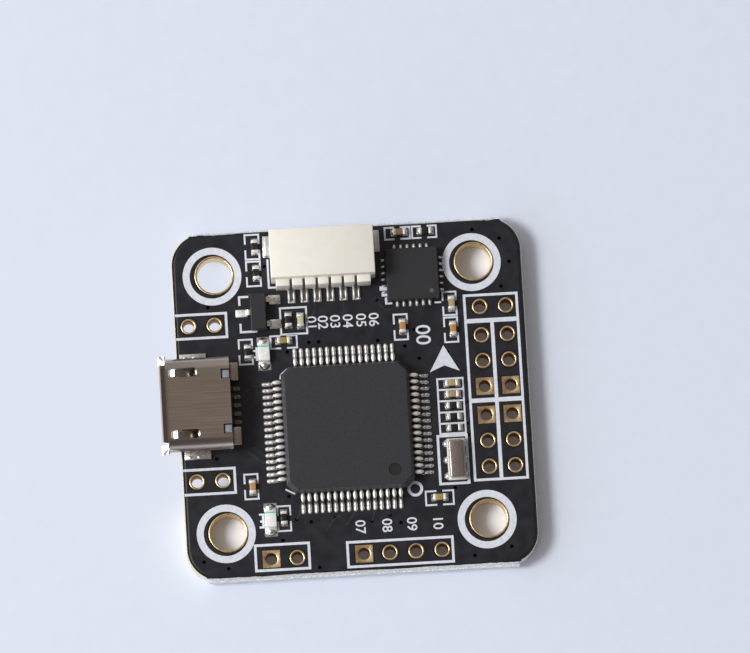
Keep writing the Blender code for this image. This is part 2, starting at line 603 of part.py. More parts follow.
def make_lead_row(name, turn):
    """Make one side's leads, joined at their roots by a bar inside the package."""
    half = PROCESSOR_SIDE / 2
    half_length = LEAD_BAR_LENGTH / 2
    half_thickness = LEAD_THICKNESS / 2
    turned = Matrix.Rotation(turn, 4, "Z")
    bar = bmesh.new()
    add_box(bar, (LEAD_ROOT, -half_length, PARTING_HEIGHT - half_thickness),
            (LEAD_ROOT + LEAD_BAR_WIDTH, half_length, PARTING_HEIGHT + half_thickness))
    bar.transform(turned)
    row = add_piece(name, bar, TIN, processor_mark)

    leads = bmesh.new()
    outline = gull_wing(LEAD_ROOT + LEAD_BAR_WIDTH / 2, half + LEAD_SHOULDER, half + LEAD_REACH,
                        LEAD_FOOT, PARTING_HEIGHT, LEAD_THICKNESS)
    for y in spaced(LEADS_PER_SIDE, LEAD_PITCH):
        add_plate(leads, outline, LEAD_WIDTH, turned @ Matrix.Translation((0, y, 0)) @ SIDE_ON)
    combine(row, leads, processor_mark, "UNION")


# Motion sensor
def make_motion_sensor():
    """Make the flat sensor package, with its edges just broken."""
    mark = place_mark("sensor", on_top(SENSOR_X, SENSOR_Y))
    half = SENSOR_SIDE / 2
    bm = bmesh.new()
    add_box(bm, (-half, -half, SOLDER_GAP), (half, half, SENSOR_HEIGHT))
    bmesh.ops.bevel(bm, geom=bm.edges[:], offset=SENSOR_EDGE, segments=1, profile=0.5, affect="EDGES")
    add_piece("motion_sensor", bm, MOULD_COMPOUND, mark)


# USB socket: X = 0 at the tip of the mouth's lip, Y = 0 on the middle line, Z = 0 on the board
usb_mark = place_mark("usb_socket", on_top(LEFT_EDGE - USB_OVERHANG, USB_Y))
USB_BLOCK_INSET = USB_WALL + USB_BLOCK_PLAY
USB_CONTACT_TOP = USB_CONTACT_HEIGHT + USB_CONTACT_THICKNESS / 2
USB_MIDDLE_HEIGHT = (USB_TOP + USB_BOTTOM) / 2


def usb_section(inset, radius):
    """List the socket's section across Y and Z: flat top, upright sides and drawn-in bottom."""
    half = USB_WIDTH / 2 - inset
    half_bottom = USB_BOTTOM_WIDTH / 2 - inset
    top = USB_TOP - inset
    bottom = USB_BOTTOM + inset
    points = [(half_bottom, bottom), (half, USB_SIDE_FOOT)]
    points += arc(half - radius, top - radius, radius, 0, 90, BEND_STEPS)
    points += arc(-half + radius, top - radius, radius, 90, 180, BEND_STEPS)
    points += [(-half, USB_SIDE_FOOT), (-half_bottom, bottom)]
    return points


def make_usb_shell():
    """Make the folded shell: a tube of sheet with a flared lip, windows and solder tabs."""
    bm = bmesh.new()
    ring = [bm.verts.new((USB_DEPTH, y, z)) for y, z in usb_section(0.0, USB_TOP_RADIUS)]
    edges = [bm.edges.new((ring[index - 1], ring[index])) for index in range(len(ring))]
    for step, rise in ((USB_DEPTH - USB_LIP_LENGTH, 0.0), (USB_LIP_LENGTH, USB_LIP_RISE)):
        new = bmesh.ops.extrude_edge_only(bm, edges=edges)["geom"]
        edges = [item for item in new if isinstance(item, bmesh.types.BMEdge)]
        verts = [item for item in new if isinstance(item, bmesh.types.BMVert)]
        bmesh.ops.translate(bm, verts=verts, vec=(-step, 0, 0))
        half = USB_WIDTH / 2
        half_height = (USB_TOP - USB_BOTTOM) / 2
        flare = (1.0, (half + rise) / half, (half_height + rise) / half_height)
        to_middle = Matrix.Translation((0, 0, -USB_MIDDLE_HEIGHT))
        bmesh.ops.scale(bm, verts=verts, vec=flare, space=to_middle)
    shell = add_piece("usb_shell", bm, SHELL_STEEL, usb_mark)
    wall = shell.modifiers.new("sheet", "SOLIDIFY")
    wall.thickness = USB_WALL
    wall.offset = -1.0
    wall.use_even_offset = True

    tabs = bmesh.new()
    bottom_half = USB_BOTTOM_WIDTH / 2 - USB_WALL
    tab_low = SOLDER_GAP
    tab_high = USB_BOTTOM + USB_WALL / 2
    for side in (-1, 1):
        near, far = sorted((side * bottom_half, side * USB_SIDE_TAB_SPAN / 2))
        add_box(tabs, (USB_SIDE_TAB_INSET, near, tab_low),
                (USB_SIDE_TAB_INSET + USB_SIDE_TAB_LENGTH, far, tab_high))
        middle = side * USB_REAR_TAB_SPACING / 2
        add_box(tabs, (USB_DEPTH - USB_WALL, middle - USB_REAR_TAB_WIDTH / 2, tab_low),
                (USB_DEPTH + USB_REAR_TAB_LENGTH, middle + USB_REAR_TAB_WIDTH / 2, tab_high))
    combine(shell, tabs, usb_mark, "UNION")

    openings = bmesh.new()
    cut_thickness = 2 * USB_WALL
    slot_end = USB_SLOT_WIDTH / 2
    near = USB_SLOT_INSET + slot_end
    far = USB_SLOT_INSET + USB_SLOT_LENGTH - slot_end
    for y in spaced(2, USB_SLOT_SPACING):
        outline = arc(far, y, slot_end, -90, 90, SLOT_END_STEPS)
        outline += arc(near, y, slot_end, 90, 270, SLOT_END_STEPS)
        add_plate(openings, outline, cut_thickness, Matrix.Translation((0, 0, USB_TOP - USB_WALL / 2)))
    half_lug = USB_LUG_SIDE / 2 + CLEARANCE
    for y in spaced(2, USB_LUG_SPACING):
        window_low = USB_TOP - USB_WALL - CLEARANCE
        add_box(openings, (USB_DEPTH - USB_LUG_SIDE - CLEARANCE, y - half_lug, window_low),
                (USB_DEPTH + CUT_PAST, y + half_lug, USB_TOP + CUT_PAST))
    lip_half = USB_LIP_WIDTH / 2
    lip_outside = USB_WIDTH / 2 + USB_LIP_RISE + CUT_PAST
    for side in (-1, 1):
        near, far = sorted((side * lip_half, side * lip_outside))
        add_box(openings, (-CUT_PAST, near, USB_TOP - USB_TOP_RADIUS),
                (USB_LIP_LENGTH, far, USB_TOP + USB_LIP_RISE + CUT_PAST))
        near, far = sorted((side * (USB_BOTTOM_WIDTH / 2 - USB_LIP_RISE), side * lip_outside))
        add_box(openings, (-CUT_PAST, near, USB_BOTTOM - USB_LIP_RISE - CUT_PAST),
                (USB_LIP_LENGTH, far, USB_BOTTOM + USB_TOP_RADIUS))
    combine(shell, openings, usb_mark, "DIFFERENCE")


def make_usb_insulator():
    """Make the insulator: a block in the shell, a tongue, two lugs and a step over the tails."""
    front = USB_DEPTH - USB_BLOCK_LENGTH
    bm = bmesh.new()
    middle = Matrix.Translation((USB_DEPTH - USB_BLOCK_LENGTH / 2, 0, 0))
    add_plate(bm, usb_section(USB_BLOCK_INSET, USB_BLOCK_RADIUS), USB_BLOCK_LENGTH, middle @ ENDWAYS)
    insulator = add_piece("usb_insulator", bm, BLACK_PLASTIC, usb_mark)

    added = bmesh.new()
    tongue_low = USB_CONTACT_TOP + CLEARANCE
    add_box(added, (USB_TONGUE_INSET, -USB_TONGUE_WIDTH / 2, tongue_low),
            (front + JOIN_DEPTH, USB_TONGUE_WIDTH / 2, tongue_low + USB_TONGUE_THICKNESS))
    add_box(added, (USB_DEPTH - JOIN_DEPTH, -USB_STEP_WIDTH / 2, USB_BOTTOM + USB_BLOCK_INSET),
            (USB_DEPTH + USB_STEP_LENGTH, USB_STEP_WIDTH / 2, USB_STEP_TOP))
    for y in spaced(2, USB_LUG_SPACING):
        add_box(added, (USB_DEPTH - USB_LUG_SIDE, y - USB_LUG_SIDE / 2, USB_MIDDLE_HEIGHT),
                (USB_DEPTH - CLEARANCE, y + USB_LUG_SIDE / 2, USB_TOP))
    combine(insulator, added, usb_mark, "UNION")

    slots = bmesh.new()
    half_slot = USB_CONTACT_WIDTH / 2 + CLEARANCE
    for y in spaced(USB_CONTACTS, USB_CONTACT_PITCH):
        add_box(slots, (front - CUT_PAST, y - half_slot, 0.0),
                (USB_DEPTH + USB_STEP_LENGTH + CUT_PAST, y + half_slot, USB_CONTACT_TOP + CLEARANCE / 2))
    combine(insulator, slots, usb_mark, "DIFFERENCE")


def make_usb_contacts():
    """Make the contacts: each lies under the tongue and ends in a tail on the board."""
    toe = USB_DEPTH + USB_CONTACT_REACH
    knee = toe - USB_CONTACT_FOOT - USB_CONTACT_THICKNESS
    outline = gull_wing(USB_TONGUE_INSET + CLEARANCE, knee, toe, USB_CONTACT_FOOT,
                        USB_CONTACT_HEIGHT, USB_CONTACT_THICKNESS)
    for number, y in enumerate(spaced(USB_CONTACTS, USB_CONTACT_PITCH), start=1):
        bm = bmesh.new()
        add_plate(bm, outline, USB_CONTACT_WIDTH, Matrix.Translation((0, y, 0)) @ SIDE_ON)
        add_piece("usb_contact_" + str(number), bm, GOLD, usb_mark)


# Wire socket: X = 0 on the middle line, Y = 0 at the mouth, Z = 0 on the board
wire_mark = place_mark("wire_socket", on_top(WIRE_X, REAR_EDGE - WIRE_INSET))
WIRE_PIN_TOP = WIRE_PIN_HEIGHT + WIRE_PIN_THICKNESS / 2


def make_wire_housing():
    """Make the housing: a block with a lower ledge, a mouth, slots for the tails and tab recesses."""
    outline = [
        (-WIRE_DEPTH, SOLDER_GAP),
        (0.0, SOLDER_GAP),
        (0.0, WIRE_TOP),
        (-WIRE_TOP_DEPTH, WIRE_TOP),
        (-WIRE_TOP_DEPTH, WIRE_LEDGE_TOP),
        (-WIRE_DEPTH, WIRE_LEDGE_TOP),
    ]
    bm = bmesh.new()
    add_plate(bm, outline, 2 * WIRE_HALF_WIDTH, ENDWAYS)
    housing = add_piece("wire_socket_housing", bm, CREAM_PLASTIC, wire_mark)

    hollows = bmesh.new()
    cavity_half = WIRE_HALF_WIDTH - WIRE_SIDE_WALL
    add_box(hollows, (-cavity_half, -WIRE_CAVITY_DEPTH, WIRE_FLOOR),
            (cavity_half, CUT_PAST, WIRE_TOP - WIRE_ROOF))
    tab_depth = WIRE_TAB_THICKNESS + 2 * CLEARANCE
    for side in (-1, 1):
        near, far = sorted((side * (WIRE_HALF_WIDTH - tab_depth), side * (WIRE_HALF_WIDTH + CUT_PAST)))
        add_box(hollows, (near, -WIRE_TAB_INSET - WIRE_TAB_LENGTH - CLEARANCE, -CUT_PAST),
                (far, CUT_PAST, WIRE_TAB_HEIGHT + CLEARANCE))
    combine(housing, hollows, wire_mark, "DIFFERENCE")

    slots = bmesh.new()
    roof = WIRE_PIN_TOP + CLEARANCE
    profile = [
        (-WIRE_DEPTH - CUT_PAST, -CUT_PAST),
        (-WIRE_CAVITY_DEPTH + CUT_PAST, -CUT_PAST),
        (-WIRE_CAVITY_DEPTH + CUT_PAST, roof),
        (-WIRE_TOP_DEPTH, roof),
        (-WIRE_TOP_DEPTH, WIRE_LEDGE_TOP + CUT_PAST),
        (-WIRE_DEPTH - CUT_PAST, WIRE_LEDGE_TOP + CUT_PAST),
    ]
    for x in spaced(WIRE_PINS, WIRE_PIN_PITCH):
        add_plate(slots, profile, WIRE_PIN_WIDTH + 2 * CLEARANCE, Matrix.Translation((x, 0, 0)) @ ENDWAYS)
    combine(housing, slots, wire_mark, "DIFFERENCE")


def make_wire_contacts():
    """Make the pins: each runs from the mouth through the back wall to a tail on the board."""
    toe = WIRE_DEPTH + WIRE_TAIL_REACH
    knee = WIRE_TOP_DEPTH + WIRE_LEDGE_DEPTH / 2
    outline = gull_wing(WIRE_PIN_INSET, knee, toe, WIRE_TAIL_FOOT, WIRE_PIN_HEIGHT, WIRE_PIN_THICKNESS)
    backwards = Matrix.Rotation(-QUARTER_TURN, 4, "Z")
    for number, x in enumerate(spaced(WIRE_PINS, WIRE_PIN_PITCH), start=1):
        bm = bmesh.new()
        add_plate(bm, outline, WIRE_PIN_WIDTH, Matrix.Translation((x, 0, 0)) @ backwards @ SIDE_ON)
        add_piece("wire_contact_" + str(number), bm, TIN, wire_mark)


def make_wire_tabs():
    """Make the anchor tabs: each stands in a recess of the housing and is soldered by its foot."""
    inner = WIRE_HALF_WIDTH - WIRE_TAB_THICKNESS - CLEARANCE
    outer = WIRE_HALF_WIDTH - CLEARANCE
    foot = WIRE_HALF_WIDTH + WIRE_TAB_REACH
    sole = SOLDER_GAP + WIRE_TAB_THICKNESS
    outline = [(inner, SOLDER_GAP), (foot, SOLDER_GAP), (foot, sole), (outer, sole),
               (outer, WIRE_TAB_HEIGHT), (inner, WIRE_TAB_HEIGHT)]
    middle = Matrix.Translation((0, -WIRE_TAB_INSET - WIRE_TAB_LENGTH / 2, 0))
    for name, mirror in (("wire_tab_left", -1), ("wire_tab_right", 1)):
        sided = [(mirror * x, z) for x, z in outline]
        bm = bmesh.new()
        add_plate(bm, sided, WIRE_TAB_LENGTH, middle @ SIDE_ON)
        add_piece(name, bm, TIN, wire_mark)


# Voltage regulator
def make_regulator():
    """Make the regulator: a drafted package, and its leads bent down to the board."""
    mark = place_mark("regulator", on_top(LEFT_COLUMN_X, REGULATOR_Y))
    half = REGULATOR_WIDTH / 2
    half_length = REGULATOR_LENGTH / 2
    top = REGULATOR_STANDOFF + REGULATOR_HEIGHT
    parting = (REGULATOR_STANDOFF + top) / 2
    bm = bmesh.new()
    add_box(bm, (-half, -half_length, REGULATOR_STANDOFF), (half, half_length, top))
    everything = bm.verts[:] + bm.edges[:] + bm.faces[:]
    bmesh.ops.bisect_plane(bm, geom=everything, plane_co=(0, 0, parting), plane_no=(0, 0, 1))
    for vert in bm.verts:
        if abs(vert.co.z - parting) > WELD_DISTANCE:
            vert.co.x -= math.copysign(REGULATOR_DRAFT, vert.co.x)
            vert.co.y -= math.copysign(REGULATOR_DRAFT, vert.co.y)
    add_piece("regulator_package", bm, MOULD_COMPOUND, mark)

    knee = half + REGULATOR_LEAD_SHOULDER + REGULATOR_LEAD_THICKNESS
    outline = gull_wing(half + CLEARANCE, knee, half + REGULATOR_LEAD_REACH, REGULATOR_LEAD_FOOT,
                        parting, REGULATOR_LEAD_THICKNESS)
    half_spacing = REGULATOR_LEAD_SPACING / 2
    turns_and_places = ((math.pi, 0.0), (0.0, half_spacing), (0.0, -half_spacing))
    for number, (turn, y) in enumerate(turns_and_places, start=1):
        bm = bmesh.new()
        place = Matrix.Translation((0, y, 0)) @ Matrix.Rotation(turn, 4, "Z") @ SIDE_ON
        add_plate(bm, outline, REGULATOR_LEAD_WIDTH, place)
        add_piece("regulator_lead_" + str(number), bm, TIN, mark)


# Clock resonator
def make_resonator():
    """Make the resonator: a flat base, and a lid with round corners on it."""
    mark = place_mark("resonator", on_top(LADDER_X, RESONATOR_Y))
    half = RESONATOR_WIDTH / 2
    half_length = RESONATOR_LENGTH / 2
    bm = bmesh.new()
    add_box(bm, (-half, -half_length, SOLDER_GAP), (half, half_length, RESONATOR_BASE_HEIGHT))
    add_piece("resonator_base", bm, WHITE_CERAMIC, mark)

    lid_half = half - RESONATOR_RIM
    lid_half_length = half_length - RESONATOR_RIM
    lid_low = RESONATOR_BASE_HEIGHT + CLEARANCE
    lid_top = lid_low + RESONATOR_LID_HEIGHT
    bm = bmesh.new()
    add_box(bm, (-lid_half, -lid_half_length, lid_low), (lid_half, lid_half_length, lid_top))
    bmesh.ops.bevel(bm, geom=upright_edges(bm), offset=RESONATOR_LID_RADIUS, segments=BEND_STEPS, profile=0.5,
                    affect="EDGES")
    rim = [edge for edge in bm.edges if min(vert.co.z for vert in edge.verts) > (lid_low + lid_top) / 2]
    bmesh.ops.bevel(bm, geom=rim, offset=RESONATOR_LID_EDGE, segments=1, profile=0.5, affect="EDGES")
    add_piece("resonator_lid", bm, LID_METAL, mark)


# Status lamps
def make_led(number, x, y):
    """Make a status lamp: its base, and the clear block over the middle of it."""
    mark = place_mark("led_" + str(number), on_top(x, y))
    half = LED_WIDTH / 2
    bm = bmesh.new()
    add_box(bm, (-half, -LED_LENGTH / 2, SOLDER_GAP), (half, LED_LENGTH / 2, LED_BASE_HEIGHT))
    add_piece("led_" + str(number) + "_base", bm, WHITE_CERAMIC, mark)

    low = LED_BASE_HEIGHT + CLEARANCE
    bm = bmesh.new()
    add_box(bm, (-half, -LED_LENS_LENGTH / 2, low), (half, LED_LENS_LENGTH / 2, low + LED_LENS_HEIGHT))
    bmesh.ops.bevel(bm, geom=bm.edges[:], offset=LED_LENS_EDGE, segments=1, profile=0.5, affect="EDGES")
    add_piece("led_" + str(number) + "_lens", bm, CLEAR_RESIN, mark)


# Chip resistors and capacitors
def make_chip(name, x, y, turn):
    """Make a chip: a small block whose two ends carry caps that stand just proud."""
    mark = place_mark(name + "_place", on_top(x, y))
    mark.rotation_euler = (0, 0, turn)
    is_resistor = name.startswith("resistor")
    height = RESISTOR_HEIGHT if is_resistor else CAPACITOR_HEIGHT
    material = BLACK_GLAZE if is_resistor else BROWN_CERAMIC
    shoulder = HALF_CHIP - CHIP_CAP_LENGTH
    bm = bmesh.new()
    add_box(bm, (-HALF_CHIP, -HALF_CHIP_WIDTH, SOLDER_GAP), (HALF_CHIP, HALF_CHIP_WIDTH, height))
    for cut in (-shoulder, shoulder):
        everything = bm.verts[:] + bm.edges[:] + bm.faces[:]
        bmesh.ops.bisect_plane(bm, geom=everything, plane_co=(cut, 0, 0), plane_no=(1, 0, 0))
    middle_faces = [face for face in bm.faces
                    if abs(face.calc_center_median().x) < shoulder and abs(face.normal.x) < 0.5]
    bmesh.ops.inset_region(bm, faces=middle_faces, thickness=CHIP_CAP_STEP, depth=-CHIP_CAP_STEP,
                           use_even_offset=True, use_boundary=True)
    add_piece(name, bm, material, mark)


make_board()
make_processor_package()
for side_number, side_name in enumerate(("right", "rear", "left", "front")):
    make_lead_row("processor_leads_" + side_name, side_number * QUARTER_TURN)
make_motion_sensor()
make_usb_shell()
make_usb_insulator()
make_usb_contacts()
make_wire_housing()
make_wire_contacts()
make_wire_tabs()
make_regulator()
make_resonator()
make_led(1, LED_1_X, LED_1_Y)
make_led(2, LED_2_X, LED_2_Y)
for chip_name, (chip_x, chip_y, chip_turn) in CHIP_PLACES.items():
    make_chip(chip_name, chip_x, chip_y, chip_turn)
print("pieces:", sum(1 for piece in parts.objects if piece.type == "MESH"))
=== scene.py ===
# %% [markdown]
# # Dressing a flight controller board
# The frame holds every part of the board as a plain solid, at its real size and in its real place.
# This lesson gives each solid the fine shape and the finish of the real part, then lights it and sets
# the camera. All sizes are written in millimetres, and a finished mesh is shrunk to metres, because
# numbers such as 0.22 are easier to read and to fill with faces than 0.00022.

# %% Load the frame
import json
import math

import bmesh
import bpy
from mathutils import Matrix, Vector, noise

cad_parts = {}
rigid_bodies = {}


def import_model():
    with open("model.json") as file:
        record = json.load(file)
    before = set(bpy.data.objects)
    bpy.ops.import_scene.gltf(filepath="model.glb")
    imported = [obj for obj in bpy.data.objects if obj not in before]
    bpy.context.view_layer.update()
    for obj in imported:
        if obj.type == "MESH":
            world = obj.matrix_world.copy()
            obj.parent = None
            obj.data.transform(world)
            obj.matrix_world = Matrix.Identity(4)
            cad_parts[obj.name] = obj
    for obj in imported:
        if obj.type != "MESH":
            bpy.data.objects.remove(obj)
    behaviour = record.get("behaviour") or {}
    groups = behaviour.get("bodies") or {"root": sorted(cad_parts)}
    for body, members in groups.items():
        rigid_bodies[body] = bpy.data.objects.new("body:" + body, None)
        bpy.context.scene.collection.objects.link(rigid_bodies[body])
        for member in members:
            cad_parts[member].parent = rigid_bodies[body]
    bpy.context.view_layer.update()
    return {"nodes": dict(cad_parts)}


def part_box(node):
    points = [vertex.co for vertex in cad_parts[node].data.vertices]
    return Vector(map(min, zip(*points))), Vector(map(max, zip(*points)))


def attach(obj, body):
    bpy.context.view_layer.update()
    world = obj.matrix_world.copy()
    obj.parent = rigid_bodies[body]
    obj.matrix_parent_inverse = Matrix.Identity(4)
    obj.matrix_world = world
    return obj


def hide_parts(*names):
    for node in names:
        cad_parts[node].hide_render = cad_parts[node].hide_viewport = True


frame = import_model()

MM = 0.001


def extent(node):
    """Give the lowest and the highest corner of one of the frame's solids, in millimetres."""
    low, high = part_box(node)
    return low / MM, high / MM


board_low, board_high = extent("circuit_board")
TOP = board_high.z
print("board:", [round(side, 2) for side in board_high - board_low], "mm")

# %% [markdown]
# ## Camera
# The photograph was taken from nearly straight above with a long lens, so parallel edges stay almost
# parallel. A lens of 343 mm about half a metre away gives the same slight taper. The turn and the
# place were worked out from the four mounting holes, whose real spacing is known.

# %% Camera
CAMERA_LENS = 343.0
CAMERA_PLACE = Vector((-8.13, -84.29, 543.49))
CAMERA_TURN = (math.radians(9.438), math.radians(-0.529), math.radians(-3.344))

camera_data = bpy.data.cameras.new("camera")
camera_data.lens = CAMERA_LENS
camera_data.clip_start = 10 * MM
camera = bpy.data.objects.new("camera", camera_data)
camera.location = CAMERA_PLACE * MM
camera.rotation_euler = CAMERA_TURN
bpy.context.scene.collection.objects.link(camera)
bpy.context.scene.camera = camera
bpy.context.scene.view_settings.view_transform = "Standard"
print("camera stands", round(CAMERA_PLACE.length), "mm from the middle of the board")

# %% [markdown]
# ## Colours and nodes
# A shader takes linear colours, while colours read from a picture are sRGB, so one function turns
# the familiar hex codes into linear values. Another adds a node with its settings and its links.
# Most finishes here are one base colour broken up by a fine noise, so a third function adds that
# noise with a grain of a real size, and lets it vary the colour, the gloss and the height together.

# %% Colour and node helpers
# Noise gathers round 0.5, so colour and gloss reach their ends at these values of it.
COLOUR_SPAN = (0.32, 0.68)
GLOSS_SPAN = (0.3, 0.7)


def linear(code):
    """Turn an sRGB hex code into the linear colour that a shader takes."""
    channels = [int(code[place:place + 2], 16) / 255 for place in (1, 3, 5)]
    straight = [c / 12.92 if c <= 0.04045 else ((c + 0.055) / 1.055) ** 2.4 for c in channels]
    return (*straight, 1.0)


def connect(tree, node, inputs):
    """Set a node's inputs: each to a value, or to another node's output."""
    for key, value in inputs.items():
        if isinstance(value, bpy.types.NodeSocket):
            tree.links.new(value, node.inputs[key])
        else:
            node.inputs[key].default_value = value


def add_node(tree, kind, inputs=None, settings=None, stops=()):
    """Add a node with its inputs, its settings and, on a colour ramp, its stops."""
    node = tree.nodes.new(kind)
    for name, value in (settings or {}).items():
        setattr(node, name, value)
    connect(tree, node, inputs or {})
    for index, (position, colour) in enumerate(stops):
        elements = node.color_ramp.elements
        element = elements[index] if index < len(elements) else elements.new(position)
        element.position = position
        element.color = colour
    return node


def start_finish(name, inputs):
    """Start a material from its shader's own values."""
    finish = bpy.data.materials.new(name)
    finish.use_nodes = True
    connect(finish.node_tree, finish.node_tree.nodes["Principled BSDF"], inputs)
    return finish


def grain(finish, size, dark, light, gloss, height=0.0, stretch=(1, 1, 1), detail=3.0):
    """Break a finish up with noise of a grain size in millimetres: colour, roughness and height."""
    tree = finish.node_tree
    shader = tree.nodes["Principled BSDF"]
    place = add_node(tree, "ShaderNodeTexCoord")
    turned = add_node(tree, "ShaderNodeMapping", {"Vector": place.outputs["Object"], "Scale": stretch})
    specks = add_node(tree, "ShaderNodeTexNoise", {
        "Vector": turned.outputs["Vector"], "Scale": 1 / (size * MM), "Detail": detail})
    colour = add_node(tree, "ShaderNodeValToRGB", {"Fac": specks.outputs["Fac"]},
                      stops=((COLOUR_SPAN[0], linear(dark)), (COLOUR_SPAN[1], linear(light))))
    rough = add_node(tree, "ShaderNodeMapRange", {
        "Value": specks.outputs["Fac"], "From Min": GLOSS_SPAN[0], "From Max": GLOSS_SPAN[1],
        "To Min": gloss[0], "To Max": gloss[1]})
    connect(tree, shader, {"Base Color": colour.outputs["Color"], "Roughness": rough.outputs["Result"]})
    if height:
        bump = add_node(tree, "ShaderNodeBump", {"Height": specks.outputs["Fac"], "Distance": height * MM})
        connect(tree, shader, {"Normal": bump.outputs["Normal"]})

# %% [markdown]
# ## Finishes of the board
# The laminate is woven glass in epoxy. Its faces carry a black solder mask, a satin ink that shows a
# little of what lies under it. Its routed sides are tan with cut fibres, and the two edges that were
# snapped along a groove are white, because broken glass fibre scatters light. The pads are copper
# under a thin gold plate, and the marks are printed with thick white ink. The grain of an ink or a
# plate is finer than the render can show, so each pattern here is drawn coarser, at the size given.

# %% Board finishes
# Mask ink over copper: satin black with a cold cast, a little cloudy where the ink pooled.
black_mask = start_finish("mask_over_copper", {"IOR": 1.5})
grain(black_mask, 0.9, "#13151d", "#1b1d28", (0.34, 0.44), height=0.004)
# The same ink on bare laminate: no metal throws light back through it, so it looks deeper black.
bare_mask = start_finish("mask_over_laminate", {"IOR": 1.5})
grain(bare_mask, 0.5, "#0d0d11", "#141418", (0.32, 0.42), height=0.004)
# Over a track the ink is stretched thin, which lifts it to a dark grey line.
track_mask = start_finish("mask_over_track", {"IOR": 1.5})
grain(track_mask, 0.4, "#23242b", "#31333b", (0.32, 0.42))
# Routed laminate: the cut layers of glass cloth show as fine level streaks of tan and cream.
routed_edge = start_finish("routed_glass_epoxy", {"IOR": 1.5})
grain(routed_edge, 0.12, "#bdb192", "#ebe3cc", (0.5, 0.75), height=0.02, stretch=(1, 1, 4))
# Snapped laminate: torn fibre is white and rough, like frosted glass.
snapped_edge = start_finish("snapped_glass_epoxy", {"IOR": 1.5})
grain(snapped_edge, 0.16, "#c5c8c8", "#f5f8fc", (0.6, 0.9), height=0.05)
# Gold over nickel: a soft yellow mirror, clouded by the grain of the copper under it.
gold_plate = start_finish("immersion_gold", {"Metallic": 1.0})
grain(gold_plate, 0.25, "#e0c088", "#f1d9ae", (0.26, 0.38), height=0.003)
# Inside a small drilled hole the plate follows the drill's scratches, so it is rough; deep in the hole its
# colour is painted dark as shade.
drill_wall_painted_shade = start_finish("plated_drill_wall_painted_shade", {"Metallic": 1.0})
grain(drill_wall_painted_shade, 0.1, "#94703f", "#b48c54", (0.45, 0.6), height=0.01)
# Marking ink: thick matt white with faint blotches from the printing screen.
white_ink = start_finish("screen_printed_ink", {"IOR": 1.45})
grain(white_ink, 0.22, "#d3d8e3", "#e3e7f0", (0.45, 0.6), height=0.006)
print("board finishes ready")

# %% [markdown]
# ## Finishes of the parts
# Chips are moulded in epoxy filled with silica powder, which gives a dull dark grey with pale specks.
# Leads are plated with tin, solder is brighter and smoother, and the socket's shell is nickel plated
# steel with rolling lines. The wire socket is cream nylon. Chip resistors have a black glaze on top.
# Here too the specks and lines are drawn as coarse as they need to be to show.

# %% Finishes of mouldings
# Moulded epoxy: a dull charcoal face, speckled by the silica in it.
mould_compound = start_finish("silica_filled_epoxy", {"IOR": 1.5})
grain(mould_compound, 0.12, "#1f1f23", "#2f2f34", (0.5, 0.68), height=0.008, detail=5.0)
# The drafted sides slid out of the mould, so they are smoother; their colour is painted lighter than the top,
# as painted light.
side_painted_lighter = start_finish("drafted_epoxy_side_painted_lighter", {"IOR": 1.5})
grain(side_painted_lighter, 0.1, "#313136", "#45454a", (0.4, 0.55), height=0.004)
# The floor of a dimple was pressed by a polished pin; its colour is painted darker than the face round it, as
# shade in the hollow.
dimple_painted_dark = start_finish("epoxy_of_dimple_painted_dark", {"IOR": 1.5})
grain(dimple_painted_dark, 0.1, "#0c0c0e", "#131315", (0.5, 0.6))
# The sensor's epoxy has a finer filler, so its face is more even.
sensor_compound = start_finish("fine_moulding_epoxy", {"IOR": 1.5})
grain(sensor_compound, 0.08, "#1c1c20", "#28282d", (0.45, 0.6), height=0.004, detail=5.0)
# A laser's mark: the burnt skin of the epoxy turns a pale grey.
laser_mark = start_finish("laser_marked_epoxy", {"IOR": 1.5})
grain(laser_mark, 0.1, "#4a4a4f", "#626267", (0.5, 0.65))
# Glass-filled nylon: grey-black with a faint sheen.
grey_nylon = start_finish("grey_black_nylon", {"IOR": 1.5})
grain(grey_nylon, 0.2, "#2b2c30", "#3a3b40", (0.4, 0.55), height=0.004)
# The lugs are a little smoother than the block and coloured a pale bluish grey, much lighter than it.
lug_plastic = start_finish("pale_bluish_nylon_lug", {"IOR": 1.5})
grain(lug_plastic, 0.2, "#858b97", "#9ba1ad", (0.35, 0.5), height=0.004)
# Natural nylon: warm white, and light sinks in a little, which softens its edges.
cream_nylon = start_finish("cream_nylon", {
    "IOR": 1.53, "Subsurface Weight": 0.12, "Subsurface Scale": 0.4 * MM,
    "Subsurface Radius": (1.0, 0.55, 0.2)})
grain(cream_nylon, 1.2, "#eeebe0", "#f2efe6", (0.42, 0.52))
# Alumina: fired white with a trace of grey and almost no gloss.
white_ceramic = start_finish("white_alumina", {"IOR": 1.6})
grain(white_ceramic, 0.15, "#cbc7bb", "#e4e1d7", (0.4, 0.55), height=0.003)
# Lamp resin: cloudy and nearly white, because it spreads the light of the chip inside.
lamp_resin = start_finish("diffusing_lamp_resin", {
    "IOR": 1.5, "Subsurface Weight": 0.4, "Subsurface Scale": 0.3 * MM})
grain(lamp_resin, 0.3, "#ecf0e9", "#fafcf8", (0.2, 0.35), height=0.004)
# The mark that tells the lamp's ends apart is a thin green ink.
lamp_green = start_finish("green_lamp_ink", {"IOR": 1.5})
grain(lamp_green, 0.1, "#6fbfa6", "#98d6c2", (0.3, 0.4))
# Resistor glaze: black glass, with small mirror lights.
resistor_glaze = start_finish("black_glass_glaze", {"IOR": 1.52})
grain(resistor_glaze, 0.1, "#161616", "#242425", (0.2, 0.34), height=0.003)
print("moulding finishes ready")

# %% Finishes of metals
# Matt tin: pale grey with a soft shine.
tin_plate = start_finish("matt_tin_plate", {"Metallic": 1.0})
grain(tin_plate, 0.15, "#d6d5d2", "#f0efed", (0.3, 0.42), height=0.003)
# Tin painted dark: painted shade for steep legs and tails that lie between brighter parts.
tin_painted_dark = start_finish("tin_painted_dark_as_shade", {"Metallic": 1.0})
grain(tin_painted_dark, 0.15, "#6e6b66", "#8d8a85", (0.34, 0.46), height=0.003)
